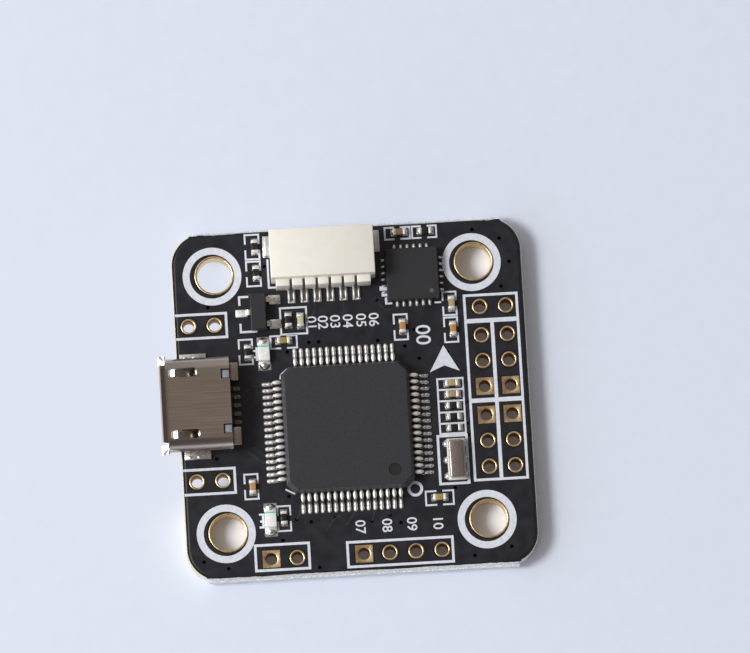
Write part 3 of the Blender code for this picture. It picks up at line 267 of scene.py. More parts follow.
# Tin from a plating barrel: almost white, and too rough to mirror anything sharply.
dull_tin = start_finish("barrel_plated_tin", {"Metallic": 0.85})
grain(dull_tin, 0.12, "#e2e0db", "#f7f6f3", (0.46, 0.6), height=0.003)
# Solder that melted and set: bright, with slow ripples.
solder = start_finish("reflowed_solder", {"Metallic": 1.0})
grain(solder, 0.25, "#dededd", "#f6f6f5", (0.2, 0.32), height=0.006)
# Nickel on rolled steel: a grey mirror with long lines from the rolling mill.
shell_steel = start_finish("nickel_plated_steel", {"Metallic": 1.0})
grain(shell_steel, 0.1, "#bbb0a7", "#c4bab1", (0.21, 0.26), stretch=(0.03, 1, 1))
# Nickel painted nearly white where the press bent or coined the sheet: painted highlight.
steel_painted_highlight = start_finish("nickel_with_painted_highlight", {"Metallic": 1.0})
grain(steel_painted_highlight, 0.2, "#ebe9e5", "#f7f5f2", (0.3, 0.4))
# Drawn lid: a warm grey metal with fine lines along its length.
lid_metal = start_finish("drawn_nickel_silver", {"Metallic": 1.0})
grain(lid_metal, 0.1, "#b4aba7", "#c2b9b5", (0.26, 0.28), stretch=(1, 0.1, 1))
print("metal finishes ready")

# %% [markdown]
# Each capacitor has its own brown, so one loop makes a fired ceramic for every capacitor from a pair
# of colours: the lighter one is the body and the darker one its pores. A fired body has a low gloss.

# %% Capacitor ceramics
CERAMIC_COLOURS = {
    "capacitor_1": ("#b7ad86", "#d6cdaa"),
    "capacitor_2": ("#8a6f2c", "#b3974a"),
    "capacitor_3": ("#7a5a3f", "#a07d5c"),
    "capacitor_4": ("#9a8160", "#c4aa86"),
    "capacitor_5": ("#a06f38", "#c8924f"),
    "capacitor_6": ("#a36c34", "#cf9352"),
    "capacitor_7": ("#96814f", "#bfa878"),
    "capacitor_8": ("#94784a", "#b99c6d"),
    "capacitor_9": ("#a5723f", "#cd9a63"),
    "capacitor_10": ("#8f7638", "#b89d57"),
}
ceramics = {}
for capacitor, (pore, body) in CERAMIC_COLOURS.items():
    ceramics[capacitor] = start_finish("fired_ceramic_of_" + capacitor, {"IOR": 1.7})
    grain(ceramics[capacitor], 0.08, pore, body, (0.34, 0.5), height=0.003)
print("ceramics:", len(ceramics))

# %% [markdown]
# ## Shapes
# A handful of shape helpers is enough for the whole board. Each draws its shape in a mesh of its own
# and stamps it into the piece, so the operators never touch what is already there. A box with
# rounded edges, a plate with holes, a turned ring, a bent strip and a solder mound cover most parts.

# %% Shape helpers
WELD = 1e-4
DROP_SEGMENTS = (14, 8)
DROP_UNDERSIDE = 0.1


def stamp(bm, shape, place=Matrix.Identity(4)):
    """Add a copy of a shape to a mesh, moved and turned by a matrix."""
    mesh = bpy.data.meshes.new("copy")
    shape.to_mesh(mesh)
    mesh.transform(place)
    bm.from_mesh(mesh)
    bpy.data.meshes.remove(mesh)


def settle(bm, shape, finish, place=Matrix.Identity(4)):
    """Turn a shape's faces outwards, give them one of the piece's finishes, and stamp it."""
    bmesh.ops.recalc_face_normals(shape, faces=shape.faces)
    for face in shape.faces:
        face.material_index = finish
    stamp(bm, shape, place)
    shape.free()


def only(kind, items):
    """Pick the vertices, edges or faces out of what an operator made."""
    return [item for item in items if isinstance(item, kind)]


def round_edges(bm, edges, offset, steps):
    """Round edges off with a bevel of a few steps."""
    bmesh.ops.bevel(bm, geom=edges, offset=offset, segments=steps, profile=0.5, affect="EDGES",
                    material=-1)


def block(bm, low, high, finish=0, rounding=0.0, steps=2, place=Matrix.Identity(4)):
    """Add a box between two corners, with its edges rounded."""
    low = Vector(low)
    high = Vector(high)
    shape = bmesh.new()
    size = Matrix.Diagonal((high - low).to_4d())
    bmesh.ops.create_cube(shape, size=1.0, matrix=Matrix.Translation((low + high) / 2) @ size)
    if rounding:
        round_edges(shape, shape.edges[:], rounding, steps)
    settle(bm, shape, finish, place)


def fill(shape, outlines, height):
    """Draw closed outlines at a height and fill them, those inside another being holes."""
    for outline in outlines:
        ring = [shape.verts.new((x, y, height)) for x, y in outline]
        for index in range(len(ring)):
            shape.edges.new((ring[index - 1], ring[index]))
    bmesh.ops.triangle_fill(shape, use_beauty=True, edges=shape.edges[:])


def plate(bm, outlines, low, high, finish=0, place=Matrix.Identity(4)):
    """Fill closed outlines and give them a thickness."""
    shape = bmesh.new()
    fill(shape, outlines, low)
    raised = bmesh.ops.extrude_face_region(shape, geom=shape.faces[:])["geom"]
    bmesh.ops.translate(shape, verts=only(bmesh.types.BMVert, raised), vec=(0, 0, high - low))
    settle(bm, shape, finish, place)


def turn(bm, profile, place=Matrix.Identity(4), segments=48, finish=0, reshape=None):
    """Spin a profile of (radius, height) points about Z. One that starts on the axis closes there."""
    shape = bmesh.new()
    verts = [shape.verts.new((radius, 0, height)) for radius, height in profile]
    edges = [shape.edges.new(pair) for pair in zip(verts, verts[1:])]
    if profile[0][0] > 0:
        edges.append(shape.edges.new((verts[-1], verts[0])))
    bmesh.ops.spin(shape, geom=verts + edges, cent=(0, 0, 0), axis=(0, 0, 1), angle=2 * math.pi,
                   steps=segments, use_merge=True)
    bmesh.ops.remove_doubles(shape, verts=shape.verts, dist=WELD)
    if reshape:
        for vert in shape.verts:
            reshape(vert)
    settle(bm, shape, finish, place)


def strip(bm, path, width, thickness, finish=0, place=Matrix.Identity(4)):
    """Bend a strip of sheet along a path of (x, z) points."""
    shape = bmesh.new()
    last = len(path) - 1
    bmesh.ops.create_grid(shape, x_segments=last, y_segments=2, size=1.0)
    for vert in shape.verts:
        x, z = path[round((vert.co.x + 1) / 2 * last)]
        vert.co = (x, vert.co.y * width / 2, z)
    bmesh.ops.solidify(shape, geom=shape.faces[:], thickness=thickness)
    settle(bm, shape, finish, place)


def mound(bm, centre, half_x, half_y, height, finish=0, place=Matrix.Identity(4), fullness=0.0):
    """Add a drop of solder: an oval ball, its lower half pressed flat, its ends filled out."""
    shape = bmesh.new()
    around, upward = DROP_SEGMENTS
    bmesh.ops.create_uvsphere(shape, u_segments=around, v_segments=upward, radius=1.0)
    for vert in shape.verts:
        lift = vert.co.z if vert.co.z > 0 else vert.co.z * DROP_UNDERSIDE
        along = vert.co.x * (1 + fullness * (1 - vert.co.x ** 2))
        vert.co = (centre[0] + along * half_x, centre[1] + vert.co.y * half_y, centre[2] + lift * height)
    settle(bm, shape, finish, place)


def circle(x, y, radius, steps):
    """List the points of a circle."""
    angles = [2 * math.pi * step / steps for step in range(steps)]
    return [(x + radius * math.cos(angle), y + radius * math.sin(angle)) for angle in angles]


def rectangle(left, front, right, rear):
    """List the corners of a rectangle."""
    return [(left, front), (right, front), (right, rear), (left, rear)]


def soften(points, reach, steps=4, closed=False):
    """Round a path or a closed outline. Arcs start a reach before the corners: one for all, or a list."""
    path = []
    count = len(points)
    reaches = reach if isinstance(reach, tuple) else (reach,) * count
    for index, (corner, reach) in enumerate(zip(points, reaches)):
        if not closed and index in (0, count - 1):
            path.append(tuple(corner))
            continue
        corner = Vector(corner)
        back = (Vector(points[index - 1]) - corner).normalized()
        ahead = (Vector(points[(index + 1) % count]) - corner).normalized()
        middle = corner + (back + ahead) * reach / (1 + back.dot(ahead))
        start = corner + back * reach - middle
        end = corner + ahead * reach - middle
        for step in range(steps + 1):
            path.append(tuple(middle + start.slerp(end, step / steps).normalized() * start.length))
    return path

# %% [markdown]
# A finished mesh becomes an object at the origin that rides on the frame. Faces that meet at a small
# angle are shaded smooth, and sharper edges stay crisp. Where a piece takes the place of one of the
# frame's solids, it says so, and that solid is hidden.

# %% Finish a piece
made_pieces = []


def finish_piece(name, bm, finishes, stands_for=(), sharp=40):
    """Make an object of a mesh that is drawn in millimetres, dress it and let it ride on the board."""
    bm.transform(Matrix.Scale(MM, 4))
    mesh = bpy.data.meshes.new(name)
    bm.to_mesh(mesh)
    bm.free()
    mesh.shade_smooth()
    mesh.set_sharp_from_angle(angle=math.radians(sharp))
    for finish in finishes:
        mesh.materials.append(finish)
    piece = bpy.data.objects.new(name, mesh)
    bpy.context.scene.collection.objects.link(piece)
    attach(piece, "root")
    if stands_for:
        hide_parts(*stands_for)
    made_pieces.append(piece)
    print(name, "has", len(mesh.polygons), "faces")

# %% [markdown]
# ## Where the holes are
# The plated holes for wires stand on a 2 mm grid: two columns at the right, a row of four and a pair
# at the front edge, and two pairs at the left. The places follow from the board's edges, so they fit
# the frame. A square pad marks the hole or the row that a group is counted from, and the other pads
# are round.

# %% Hole places
MOUNT_HALF_PITCH = 10.0
MOUNT_RADIUS = 1.35
PIN_PITCH = 2.0
PIN_RADIUS = 0.45
BARREL = 0.04
SIGNAL_INSET = 1.43
SIGNAL_ROWS = (6.45, 4.23, 2.23, 0.23, -1.99, -3.99, -5.99)
SQUARE_ROWS = (3, 4)
FRONT_INSET = 1.45
FRONT_ROW_X = 0.27
FRONT_PAIR_X = -6.83
LEFT_INSET = 1.12
LEFT_ROWS = (6.14, -5.93)

mount_holes = [(x, y) for x in (-MOUNT_HALF_PITCH, MOUNT_HALF_PITCH)
               for y in (-MOUNT_HALF_PITCH, MOUNT_HALF_PITCH)]
signal_x = board_high.x - SIGNAL_INSET
front_y = board_low.y + FRONT_INSET
left_x = board_low.x + LEFT_INSET
square_pins = []
round_pins = []
for row, y in enumerate(SIGNAL_ROWS):
    row_list = square_pins if row in SQUARE_ROWS else round_pins
    row_list += [(signal_x, y), (signal_x - PIN_PITCH, y)]
square_pins += [(FRONT_ROW_X, front_y), (FRONT_PAIR_X, front_y)]
round_pins += [(FRONT_ROW_X + pin * PIN_PITCH, front_y) for pin in (1, 2, 3)]
round_pins.append((FRONT_PAIR_X + PIN_PITCH, front_y))
for y in LEFT_ROWS:
    round_pins += [(left_x, y), (left_x + PIN_PITCH, y)]
print("plated holes:", len(square_pins) + len(round_pins))

# %% [markdown]
# Vias are the tiny holes that join one copper layer to another. They are drilled 0.3 mm wide and
# covered with mask, so they show as dark dots. Their places were read off the photograph. The
# white print on this board is a little out of line with the drilling, which is common, so whatever
# was measured against the print is moved back by the same small step.

# %% Via places
PRINT_STEP = Vector((-0.18, -0.06))
VIA_RADIUS = 0.15
VIA_PLACES = (
    (12.25, 11.75), (12.9, 9.9), (10.2, 12.55), (12.15, 8.0), (2.6, 7.4), (2.45, 6.05), (2.45, 4.3),
    (4.5, 3.75), (5.8, 5.0), (5.3, 5.0), (5.55, 2.75), (9.1, -0.9), (8.95, -2.45), (9.0, -3.4),
    (7.7, -7.45), (-1.6, -9.25), (1.2, -9.65), (2.6, -9.25), (3.4, -9.9), (8.9, -12.75), (11.75, -12.2),
    (-3.0, -13.0), (-5.7, -10.75), (-9.95, -12.7), (-11.8, -12.1), (-4.55, -9.2), (-3.45, -9.45),
    (-5.05, -7.4), (-10.4, -4.2), (-10.45, 7.6), (-5.95, 10.55), (-4.55, 3.8), (-2.85, 4.45), (-2.1, 4.45),
    (-2.65, 6.3), (-1.9, 6.35), (-0.3, 5.85), (7.0, 12.1), (7.75, 3.1),
)
vias = [(x + PRINT_STEP.x, y + PRINT_STEP.y) for x, y in VIA_PLACES]
print("vias:", len(vias))

# %% [markdown]
# ## Board
# The board is one plate with round corners and some seventy holes. An outline with its holes is
# filled with triangles and extruded, which gives true walls inside every hole. Two slanted cuts along
# the front and the rear edge leave the slopes of the scored groove, on the top and on the bottom.

# %% Board
CORNER_RADIUS = 2.5
CORNER_STEPS = 14
SCORE_WIDTH = 0.18
SCORE_DEPTH = 0.45
MOUNT_STEPS = 64
PIN_STEPS = 32
VIA_STEPS = 12

corners = rectangle(board_low.x, board_low.y, board_high.x, board_high.y)
board_outline = soften(corners, CORNER_RADIUS, steps=CORNER_STEPS, closed=True)
via_outlines = [circle(x, y, VIA_RADIUS, VIA_STEPS) for x, y in vias]
board_outlines = [board_outline]
board_outlines += [circle(x, y, MOUNT_RADIUS + BARREL, MOUNT_STEPS) for x, y in mount_holes]
board_outlines += [circle(x, y, PIN_RADIUS + BARREL, PIN_STEPS) for x, y in square_pins + round_pins]
board_outlines += via_outlines
board = bmesh.new()
plate(board, board_outlines, board_low.z, TOP)
for edge_y, outward in ((board_low.y, -1), (board_high.y, 1)):
    for face_z, upward in ((board_low.z, -1), (TOP, 1)):
        slope = Vector((0, outward * SCORE_DEPTH, upward * SCORE_WIDTH))
        everything = board.verts[:] + board.edges[:] + board.faces[:]
        cut = bmesh.ops.bisect_plane(board, geom=everything, plane_no=slope, clear_outer=True,
                                     plane_co=(0, edge_y - outward * SCORE_WIDTH, face_z))
        bmesh.ops.contextual_create(board, geom=only(bmesh.types.BMEdge, cut["geom_cut"]))
print("board faces:", len(board.faces))

# %% [markdown]
# The mask stops short of the edge, where a line of bare laminate shows, so the upper edge gets a
# narrow slope of its own. Along the snapped edges the mask has crumbled: the border is cut into short
# lengths, and noise moves each point a little to and fro.

# %% Bare line and crumbled border
BARE_EDGE = 0.07
CRUMBLE = 0.06
CRUMBLE_CUTS = 7


def on_top(vert):
    """Tell whether a point lies on the board's top face."""
    return abs(vert.co.z - TOP) < WELD


def spot_of(x, y):
    """Round a place, so that a mesh's points can be looked up in an outline."""
    return round(x, 3), round(y, 3)


on_outline = {spot_of(x, y) for x, y in board_outline}
outline_edges = [edge for edge in board.edges
                 if all(on_top(v) and spot_of(v.co.x, v.co.y) in on_outline for v in edge.verts)]
round_edges(board, outline_edges, BARE_EDGE, 1)
for border_y in (board_low.y + SCORE_WIDTH, board_high.y - SCORE_WIDTH):
    border = [edge for edge in board.edges
              if all(on_top(v) and abs(v.co.y - border_y) < WELD for v in edge.verts)]
    bmesh.ops.subdivide_edges(board, edges=border, cuts=CRUMBLE_CUTS)
    for vert in board.verts:
        if on_top(vert) and abs(vert.co.y - border_y) < WELD:
            vert.co.y += CRUMBLE * (noise.noise(vert.co * 2.3) + 0.6 * noise.noise(vert.co * 7.1))
print("edges with a bare line:", len(outline_edges))

# %% [markdown]
# The faces now take their finish by the way they look: up and down is mask, along X or at a corner is
# routed edge, along Y is the snapped edge. The bare line at the right is as pale as a snapped edge,
# and the one at the left is tan. The walls of the vias are covered with mask.

# %% Faces of the board
TOP_MASK, ROUTED, SNAPPED, UNDER_MASK = range(4)
LEVEL = 0.9
ALONG_Y = 0.75
RIGHT_SLOPE = 0.3

for face in board.faces:
    if face.normal.z < -LEVEL:
        face.material_index = UNDER_MASK
    elif face.normal.z > LEVEL:
        face.material_index = TOP_MASK
    elif any((face.calc_center_median().xy - Vector(via)).length < 2 * VIA_RADIUS for via in vias):
        face.material_index = TOP_MASK
    elif abs(face.normal.y) > ALONG_Y or min(face.normal.x, face.normal.z) > RIGHT_SLOPE:
        face.material_index = SNAPPED
    else:
        face.material_index = ROUTED
finish_piece("board_laminate", board, (bare_mask, routed_edge, snapped_edge, black_mask),
             ["circuit_board"], sharp=20)

# %% [markdown]
# The web that tore when the board was snapped is a rough strip on the middle of the wall. It stands a
# little proud of the wall and ends in a step before the round corners. It is cut into many short
# lengths that are pushed out unevenly.

# %% Snapped web
WEB_DEPTH = 0.3
WEB_PROUD = 0.07
WEB_INSET = 1.6
WEB_CUTS = 180
TEAR_OUT = 0.04
TEAR_UP = 0.07

web = bmesh.new()
for edge_y, outward in ((board_low.y, -1), (board_high.y, 1)):
    rough = bmesh.new()
    inner, outer = sorted((edge_y + outward * WEB_PROUD, edge_y - outward * WEB_DEPTH))
    block(rough, (board_low.x + WEB_INSET, inner, board_low.z + SCORE_DEPTH),
          (board_high.x - WEB_INSET, outer, TOP - SCORE_DEPTH))
    lengthways = [edge for edge in rough.edges if abs((edge.verts[0].co - edge.verts[1].co).x) > 1]
    bmesh.ops.subdivide_edges(rough, edges=lengthways, cuts=WEB_CUTS, use_grid_fill=True)
    for vert in rough.verts:
        tear = noise.noise(vert.co * 2.1) + 0.7 * noise.noise(vert.co * 6.3)
        vert.co.y += outward * TEAR_OUT * tear
        vert.co.z += TEAR_UP * noise.noise(vert.co * 3.7)
    settle(web, rough, 0)
finish_piece("snapped_web", web, (snapped_edge,))

# %% [markdown]
# ## Plated holes
# A plated hole is a ring pad on each face joined by a barrel through the board: one closed profile
# spun about the hole's axis. A square pad starts as the same ring, and its rim is pulled out to a
# square. Deep in a wire hole the wall is rough from the drill, and its colour is painted dark as
# shade. The mounting holes have a narrow rim.

# %% Plated holes
PAD_RADIUS = 0.6
SQUARE_HALF = 0.67
PAD_HEIGHT = 0.035
PAD_FALL = 0.01
PAD_SLOPE = 0.03
UNDER_PAD = 0.3 * PAD_HEIGHT
BARREL_MOUTH = 0.05
MOUTH_ROUND = 0.3 * BARREL_MOUTH
MOUNT_RIM = 0.17
WIRE_HOLE_STEPS = 40
MOUNT_RIM_STEPS = 72
PAINTED_SHADE_TOP = TOP * 0.6


def hole_profile(inner, pad):
    """List the section of a plated hole, with the mouth of the barrel rounded."""
    outer = inner + BARREL
    top = TOP + PAD_HEIGHT
    bottom = board_low.z - UNDER_PAD
    return [
        (outer, board_low.z), (outer, TOP), (pad, TOP), (pad - PAD_FALL, top - PAD_FALL),
        (pad - PAD_SLOPE, top), (inner + BARREL_MOUTH, top), (inner + MOUTH_ROUND, top - MOUTH_ROUND),
        (inner, top - BARREL_MOUTH), (inner, bottom), (pad, bottom), (pad, board_low.z),
    ]


def pull_square(vert):
    """Pull the rim of a ring pad out to a square."""
    radius = math.hypot(vert.co.x, vert.co.y)
    if radius > (PIN_RADIUS + PAD_RADIUS) / 2:
        stretch = SQUARE_HALF / max(abs(vert.co.x), abs(vert.co.y))
        vert.co.x *= stretch
        vert.co.y *= stretch


pads = bmesh.new()
for group, reshape in ((round_pins, None), (square_pins, pull_square)):
    for x, y in group:
        turn(pads, hole_profile(PIN_RADIUS, PAD_RADIUS), Matrix.Translation((x, y, 0)),
             segments=WIRE_HOLE_STEPS, reshape=reshape)
# Wall faces deep in a wire hole take the rough plate painted dark as shade.
for face in pads.faces:
    if abs(face.normal.z) < 0.1 and face.calc_center_median().z < PAINTED_SHADE_TOP:
        face.material_index = 1
finish_piece("plated_wire_holes", pads, (gold_plate, drill_wall_painted_shade))

rims = bmesh.new()
for x, y in mount_holes:
    turn(rims, hole_profile(MOUNT_RADIUS, MOUNT_RADIUS + MOUNT_RIM), Matrix.Translation((x, y, 0)),
         segments=MOUNT_RIM_STEPS)
finish_piece("plated_mount_holes", rims, (gold_plate,))

# %% [markdown]
# ## Copper under the mask
# A sheet of copper covers most of a board's face. It stops short of the edges and leaves a gap round
# every pad, and the mask over it shows that as a faint step. The sheet is a thin plate with openings,
# and its border slopes down to the laminate. Vias are closed with mask, so a plug sits in each, deep
# enough for the hole to look dark.

# %% Copper sheet and via plugs
COPPER = 0.018
COPPER_SINK = 0.01
COPPER_INSET = 0.3
COPPER_SLOPE = 0.13
COPPER_SLOPE_Y = 0.4 * COPPER_SLOPE
COPPER_STEPS = 10
MOUNT_GAP = 0.12
GAP_RADIUS = 0.75
PLUG_DEPTH = 0.6
PLUG_BOTTOM = 0.1
PLUG_RADIUS = VIA_RADIUS + 0.01

inset = rectangle(board_low.x + COPPER_INSET, board_low.y + COPPER_INSET,
                  board_high.x - COPPER_INSET, board_high.y - COPPER_INSET)
sheet_border = soften(inset, CORNER_RADIUS - COPPER_INSET, steps=COPPER_STEPS, closed=True)
sheet_outlines = [sheet_border]
sheet_outlines += [circle(x, y, MOUNT_RADIUS + MOUNT_RIM + MOUNT_GAP, MOUNT_STEPS) for x, y in mount_holes]
sheet_outlines += [circle(x, y, GAP_RADIUS, PIN_STEPS) for x, y in round_pins]
sheet_outlines += [rectangle(x - GAP_RADIUS, y - GAP_RADIUS, x + GAP_RADIUS, y + GAP_RADIUS)
                   for x, y in square_pins]
sheet_outlines += via_outlines
copper = bmesh.new()
plate(copper, sheet_outlines, TOP - COPPER_SINK, TOP + COPPER)
on_border = {spot_of(x, y) for x, y in sheet_border}
foot = [v for v in copper.verts if v.co.z < TOP and spot_of(v.co.x, v.co.y) in on_border]
bmesh.ops.scale(copper, verts=foot,
                vec=(1 + COPPER_SLOPE / board_high.x, 1 + COPPER_SLOPE_Y / board_high.y, 1))
plug = [(0.0, PLUG_BOTTOM), (PLUG_RADIUS, PLUG_BOTTOM), (PLUG_RADIUS, TOP - PLUG_DEPTH),
        (0.0, TOP - PLUG_DEPTH)]
for x, y in vias:
    turn(copper, plug, Matrix.Translation((x, y, 0)), segments=VIA_STEPS)
print("openings in the copper:", len(sheet_outlines) - 1)

# %% [markdown]
# A few tracks run from the leads to vias. The mask lies over them, so all that
# shows is a faint line. A track's outline is its path, stepped half its width to both sides.

# %% Tracks
TRACK_WIDTH = 0.13
TRACK_RISE = 0.012
TRACK_SINK = 0.005
TRACK_BEND = 0.2
TRACKS = (
    ((-8.15, -3.85), (-7.0, -4.8), (-6.6, -4.8)), ((-7.75, -3.5), (-6.85, -4.3), (-6.5, -4.3)),
    ((-4.4, -8.1), (-4.4, -8.7), (-4.73, -9.26)), ((-4.15, -9.6), (-3.75, -8.9), (-3.75, -8.3)),
    ((-2.55, -10.3), (-1.9, -9.4), (-1.25, -9.1), (-1.25, -8.3)),
    ((-0.25, -8.3), (-0.25, -9.0), (-1.0, -9.9)),
    ((1.25, -8.3), (1.25, -9.0), (1.02, -9.71)), ((2.25, -8.3), (2.25, -8.9), (2.42, -9.31)),
    ((-6.6, 1.25), (-7.6, 1.25), (-8.3, 0.6)), ((-6.6, 0.75), (-7.4, 0.75), (-8.3, -0.1)),
    ((-2.83, 6.24), (-2.4, 6.9), (-2.4, 7.7)), ((-0.48, 5.79), (-0.2, 6.6), (-0.2, 7.6)),
    ((2.42, 7.34), (2.9, 6.6), (3.4, 6.6)), ((8.92, -0.96), (8.95, -2.0), (8.77, -2.51)),
)

for points in TRACKS:
    path = [Vector(point) for point in soften(points, TRACK_BEND)]
    left = []
    right = []
    for index, point in enumerate(path):
        along = (path[min(index + 1, len(path) - 1)] - path[max(index - 1, 0)]).normalized()
        left.append(point + along.orthogonal() * TRACK_WIDTH / 2)
        right.append(point - along.orthogonal() * TRACK_WIDTH / 2)
    plate(copper, [left + right[::-1]], TOP + COPPER - TRACK_SINK, TOP + COPPER + TRACK_RISE, 1)
finish_piece("copper_sheet", copper, (black_mask, track_mask), sharp=8)

# %% [markdown]
# ## Printed marks
# The white marks are ink, thick enough to feel. Frames and bars are thin plates, the rings round the
# mounting holes are spun, and the arrow is a filled outline. A smaller ring marks the processor's
# first lead.

# %% Printed frames, rings and arrow
INK = 0.04
INK_LINE = 0.2
RING_INNER = 1.72
RING_OUTER = 2.26
RING_STEPS = 72
PIN_ONE_INNER = 0.38
PIN_ONE_OUTER = 0.6
PIN_ONE_STEPS = 32
PIN_ONE_PLACE = (4.65, -7.35)
ARROW = [(7.45, 3.65), (6.3, 1.6), (7.45, 2.08), (8.6, 1.6)]
print_place = Matrix.Translation((PRINT_STEP.x, PRINT_STEP.y, 0))
marks = bmesh.new()


def ink(*outlines, place=print_place):
    """Print closed outlines, those inside another being left bare."""
    plate(marks, outlines, TOP, TOP + INK, 0, place)


def bar(left, front, right, rear):
    """Print a filled bar."""
    ink(rectangle(left, front, right, rear))


def frame_mark(left, front, right, rear, line=INK_LINE):
    """Print a frame: its outside is given, and its line lies inside."""
    ink(rectangle(left, front, right, rear),
        rectangle(left + line, front + line, right - line, rear - line))


def ring_mark(x, y, inner, outer, steps):
    """Print a ring round a place."""
    section = [(inner, TOP), (outer, TOP), (outer, TOP + INK), (inner, TOP + INK)]
    turn(marks, section, print_place @ Matrix.Translation((x, y, 0)), segments=steps)


for x, y in mount_holes:
    ring_mark(x, y, RING_INNER, RING_OUTER, RING_STEPS)
ring_mark(*PIN_ONE_PLACE, PIN_ONE_INNER, PIN_ONE_OUTER, PIN_ONE_STEPS)
ink(ARROW)
print("ink faces so far:", len(marks.faces))

# %% [markdown]
# Each group of holes stands in a frame of its own. The one at the right is divided by bars, and the
# two at the left are open towards the edge.

# %% Printed frames round the holes
SIGNAL_FRAME = (9.17, -7.05, 13.4, 7.5)
SIGNAL_BAR_X = (9.37, 13.2)
SIGNAL_BAR_Y = (5.4, -0.8)
SIGNAL_BAR_HALF = 0.17
DIVIDER_X = (11.16, 11.44)
DIVIDER_Y = ((-0.63, 5.23), (-6.85, -0.97))
FRONT_FRAMES = ((-0.9, -13.2, 7.35, -11.1), (-7.95, -13.1, -3.65, -10.95))
LEFT_FRAME_Y = ((-6.95, -4.85), (5.15, 7.2))
LEFT_FRAME_END = -9.0
LEFT_FRAME_INSET = 0.1

frame_mark(*SIGNAL_FRAME)
for y in SIGNAL_BAR_Y:
    bar(SIGNAL_BAR_X[0], y - SIGNAL_BAR_HALF, SIGNAL_BAR_X[1], y + SIGNAL_BAR_HALF)
for front, rear in DIVIDER_Y:
    bar(DIVIDER_X[0], front, DIVIDER_X[1], rear)
for outline in FRONT_FRAMES:
    frame_mark(*outline)
left_side = board_low.x - PRINT_STEP.x + LEFT_FRAME_INSET
for front, rear in LEFT_FRAME_Y:
    bar(left_side, front, LEFT_FRAME_END, front + INK_LINE)
    bar(left_side, rear - INK_LINE, LEFT_FRAME_END, rear)
    bar(LEFT_FRAME_END - INK_LINE, front + INK_LINE, LEFT_FRAME_END, rear - INK_LINE)
print("ink faces so far:", len(marks.faces))

# %% [markdown]
# Every small part has its own printed outline too. The ladder of five chips shares one frame with
# rungs, the clock has a frame, and the other chips have brackets with gaps at the middle. Short bars
# and slanted strokes mark ends and corners of the other parts.

# %% Printed outlines of the parts
LADDER_FRAME = (6.75, -3.3, 8.85, 1.1)
LADDER_LINE = 0.14
LADDER_RUNGS = (0.18, -0.7, -1.58, -2.45)
CLOCK_FRAME = (6.5, -7.2, 8.9, -3.3)
CHIP_PAIR_FRAME = (-5.0, 5.1, -2.85, 7.3)
CHIP_PAIR_LINE = 0.15
BRACKET_LINE = INK_LINE * 0.68
BRACKET_GAP = 0.45
CHIP_BRACKETS = (
    (-7.4, 11.1, -6.2, 13.15), (-7.4, 9.0, -6.2, 11.05), (-8.3, 2.95, -7.15, 5.0),
    (7.55, 3.8, 8.7, 5.85), (7.55, 5.9, 8.7, 7.85), (3.7, 4.2, 4.85, 6.3), (-8.45, -7.5, -7.3, -5.45),
    (-6.05, -10.1, -4.95, -8.05), (5.35, -8.75, 7.6, -7.55), (3.4, 12.05, 5.45, 13.1),
    (5.5, 12.05, 7.5, 13.1), (-5.85, 4.05, -3.7, 5.15),
)
REGULATOR_BARS = (
    (-8.1, 5.45, -7.93, 6.2), (-8.1, 7.6, -7.93, 8.35), (-7.93, 5.45, -6.75, 5.62), (-7.93, 8.18, -7.3, 8.35),
)
SOCKET_BARS = ((-5.75, 8.8, -5.6, 11.1), (-5.6, 8.8, -5.1, 8.95))
SENSOR_BARS = (
    (2.82, 8.16, 3.49, 8.5), (2.95, 7.7, 3.47, 8.04), (3.18, 7.06, 3.36, 7.61), (3.36, 7.06, 3.73, 7.21),
    (6.98, 6.95, 7.5, 7.08),
)
LAMP_BARS = (
    (-6.98, 3.25, -6.8, 4.3), (-7.2, 3.95, -6.98, 4.1), (-7.2, 3.45, -6.98, 3.6),
    (-7.2, -9.75, -7.02, -8.6), (-7.42, -8.75, -7.2, -8.6), (-7.35, -9.3, -7.2, -9.12),
    (-7.42, -9.75, -7.2, -9.58),
)
STROKE_HALF = 0.06
STROKES = (((-5.24, 1.72), (-5.12, 2.1)), ((-5.14, 2.06), (-4.6, 2.5)), ((-5.28, -6.84), (-4.57, -7.23)))


def bracket(left, front, right, rear):
    """Print two brackets round a chip: a frame with a gap in the middle of both long sides."""
    line = BRACKET_LINE
    upright = right - left < rear - front
    start, end, near, far = (front, rear, left, right) if upright else (left, right, front, rear)
    half = (start + end) / 2
    for low, high, edge in ((start, half - BRACKET_GAP / 2, start),
                            (half + BRACKET_GAP / 2, end, end - line)):
        for along, across, along_end, across_end in (
            (low, near, high, near + line), (low, far - line, high, far),
            (edge, near + line, edge + line, far - line),
        ):
            if upright:
                bar(across, along, across_end, along_end)
            else:
                bar(along, across, along_end, across_end)


frame_mark(*LADDER_FRAME, LADDER_LINE)
for y in LADDER_RUNGS:
    bar(LADDER_FRAME[0] + LADDER_LINE, y - LADDER_LINE / 2,
        LADDER_FRAME[2] - LADDER_LINE, y + LADDER_LINE / 2)
frame_mark(*CLOCK_FRAME)
for outline in CHIP_BRACKETS:
    bracket(*outline)
frame_mark(*CHIP_PAIR_FRAME, CHIP_PAIR_LINE)
for outline in REGULATOR_BARS + SOCKET_BARS + SENSOR_BARS + LAMP_BARS:
    bar(*outline)
for start, end in STROKES:
    line = Vector(end) - Vector(start)
    slant = Matrix.Rotation(math.atan2(line.y, line.x), 4, "Z")
    ink(rectangle(0, -STROKE_HALF, line.length, STROKE_HALF),
        place=print_place @ Matrix.Translation((*start, 0)) @ slant)
finish_piece("printed_marks", marks, (white_ink,))

# %% [markdown]
# Plain numbers beside the holes count the pins. They are made from Blender's own font. The text is
# turned into a mesh first and placed after that, so the object itself stays at the origin. They read
# from the right side of the board.

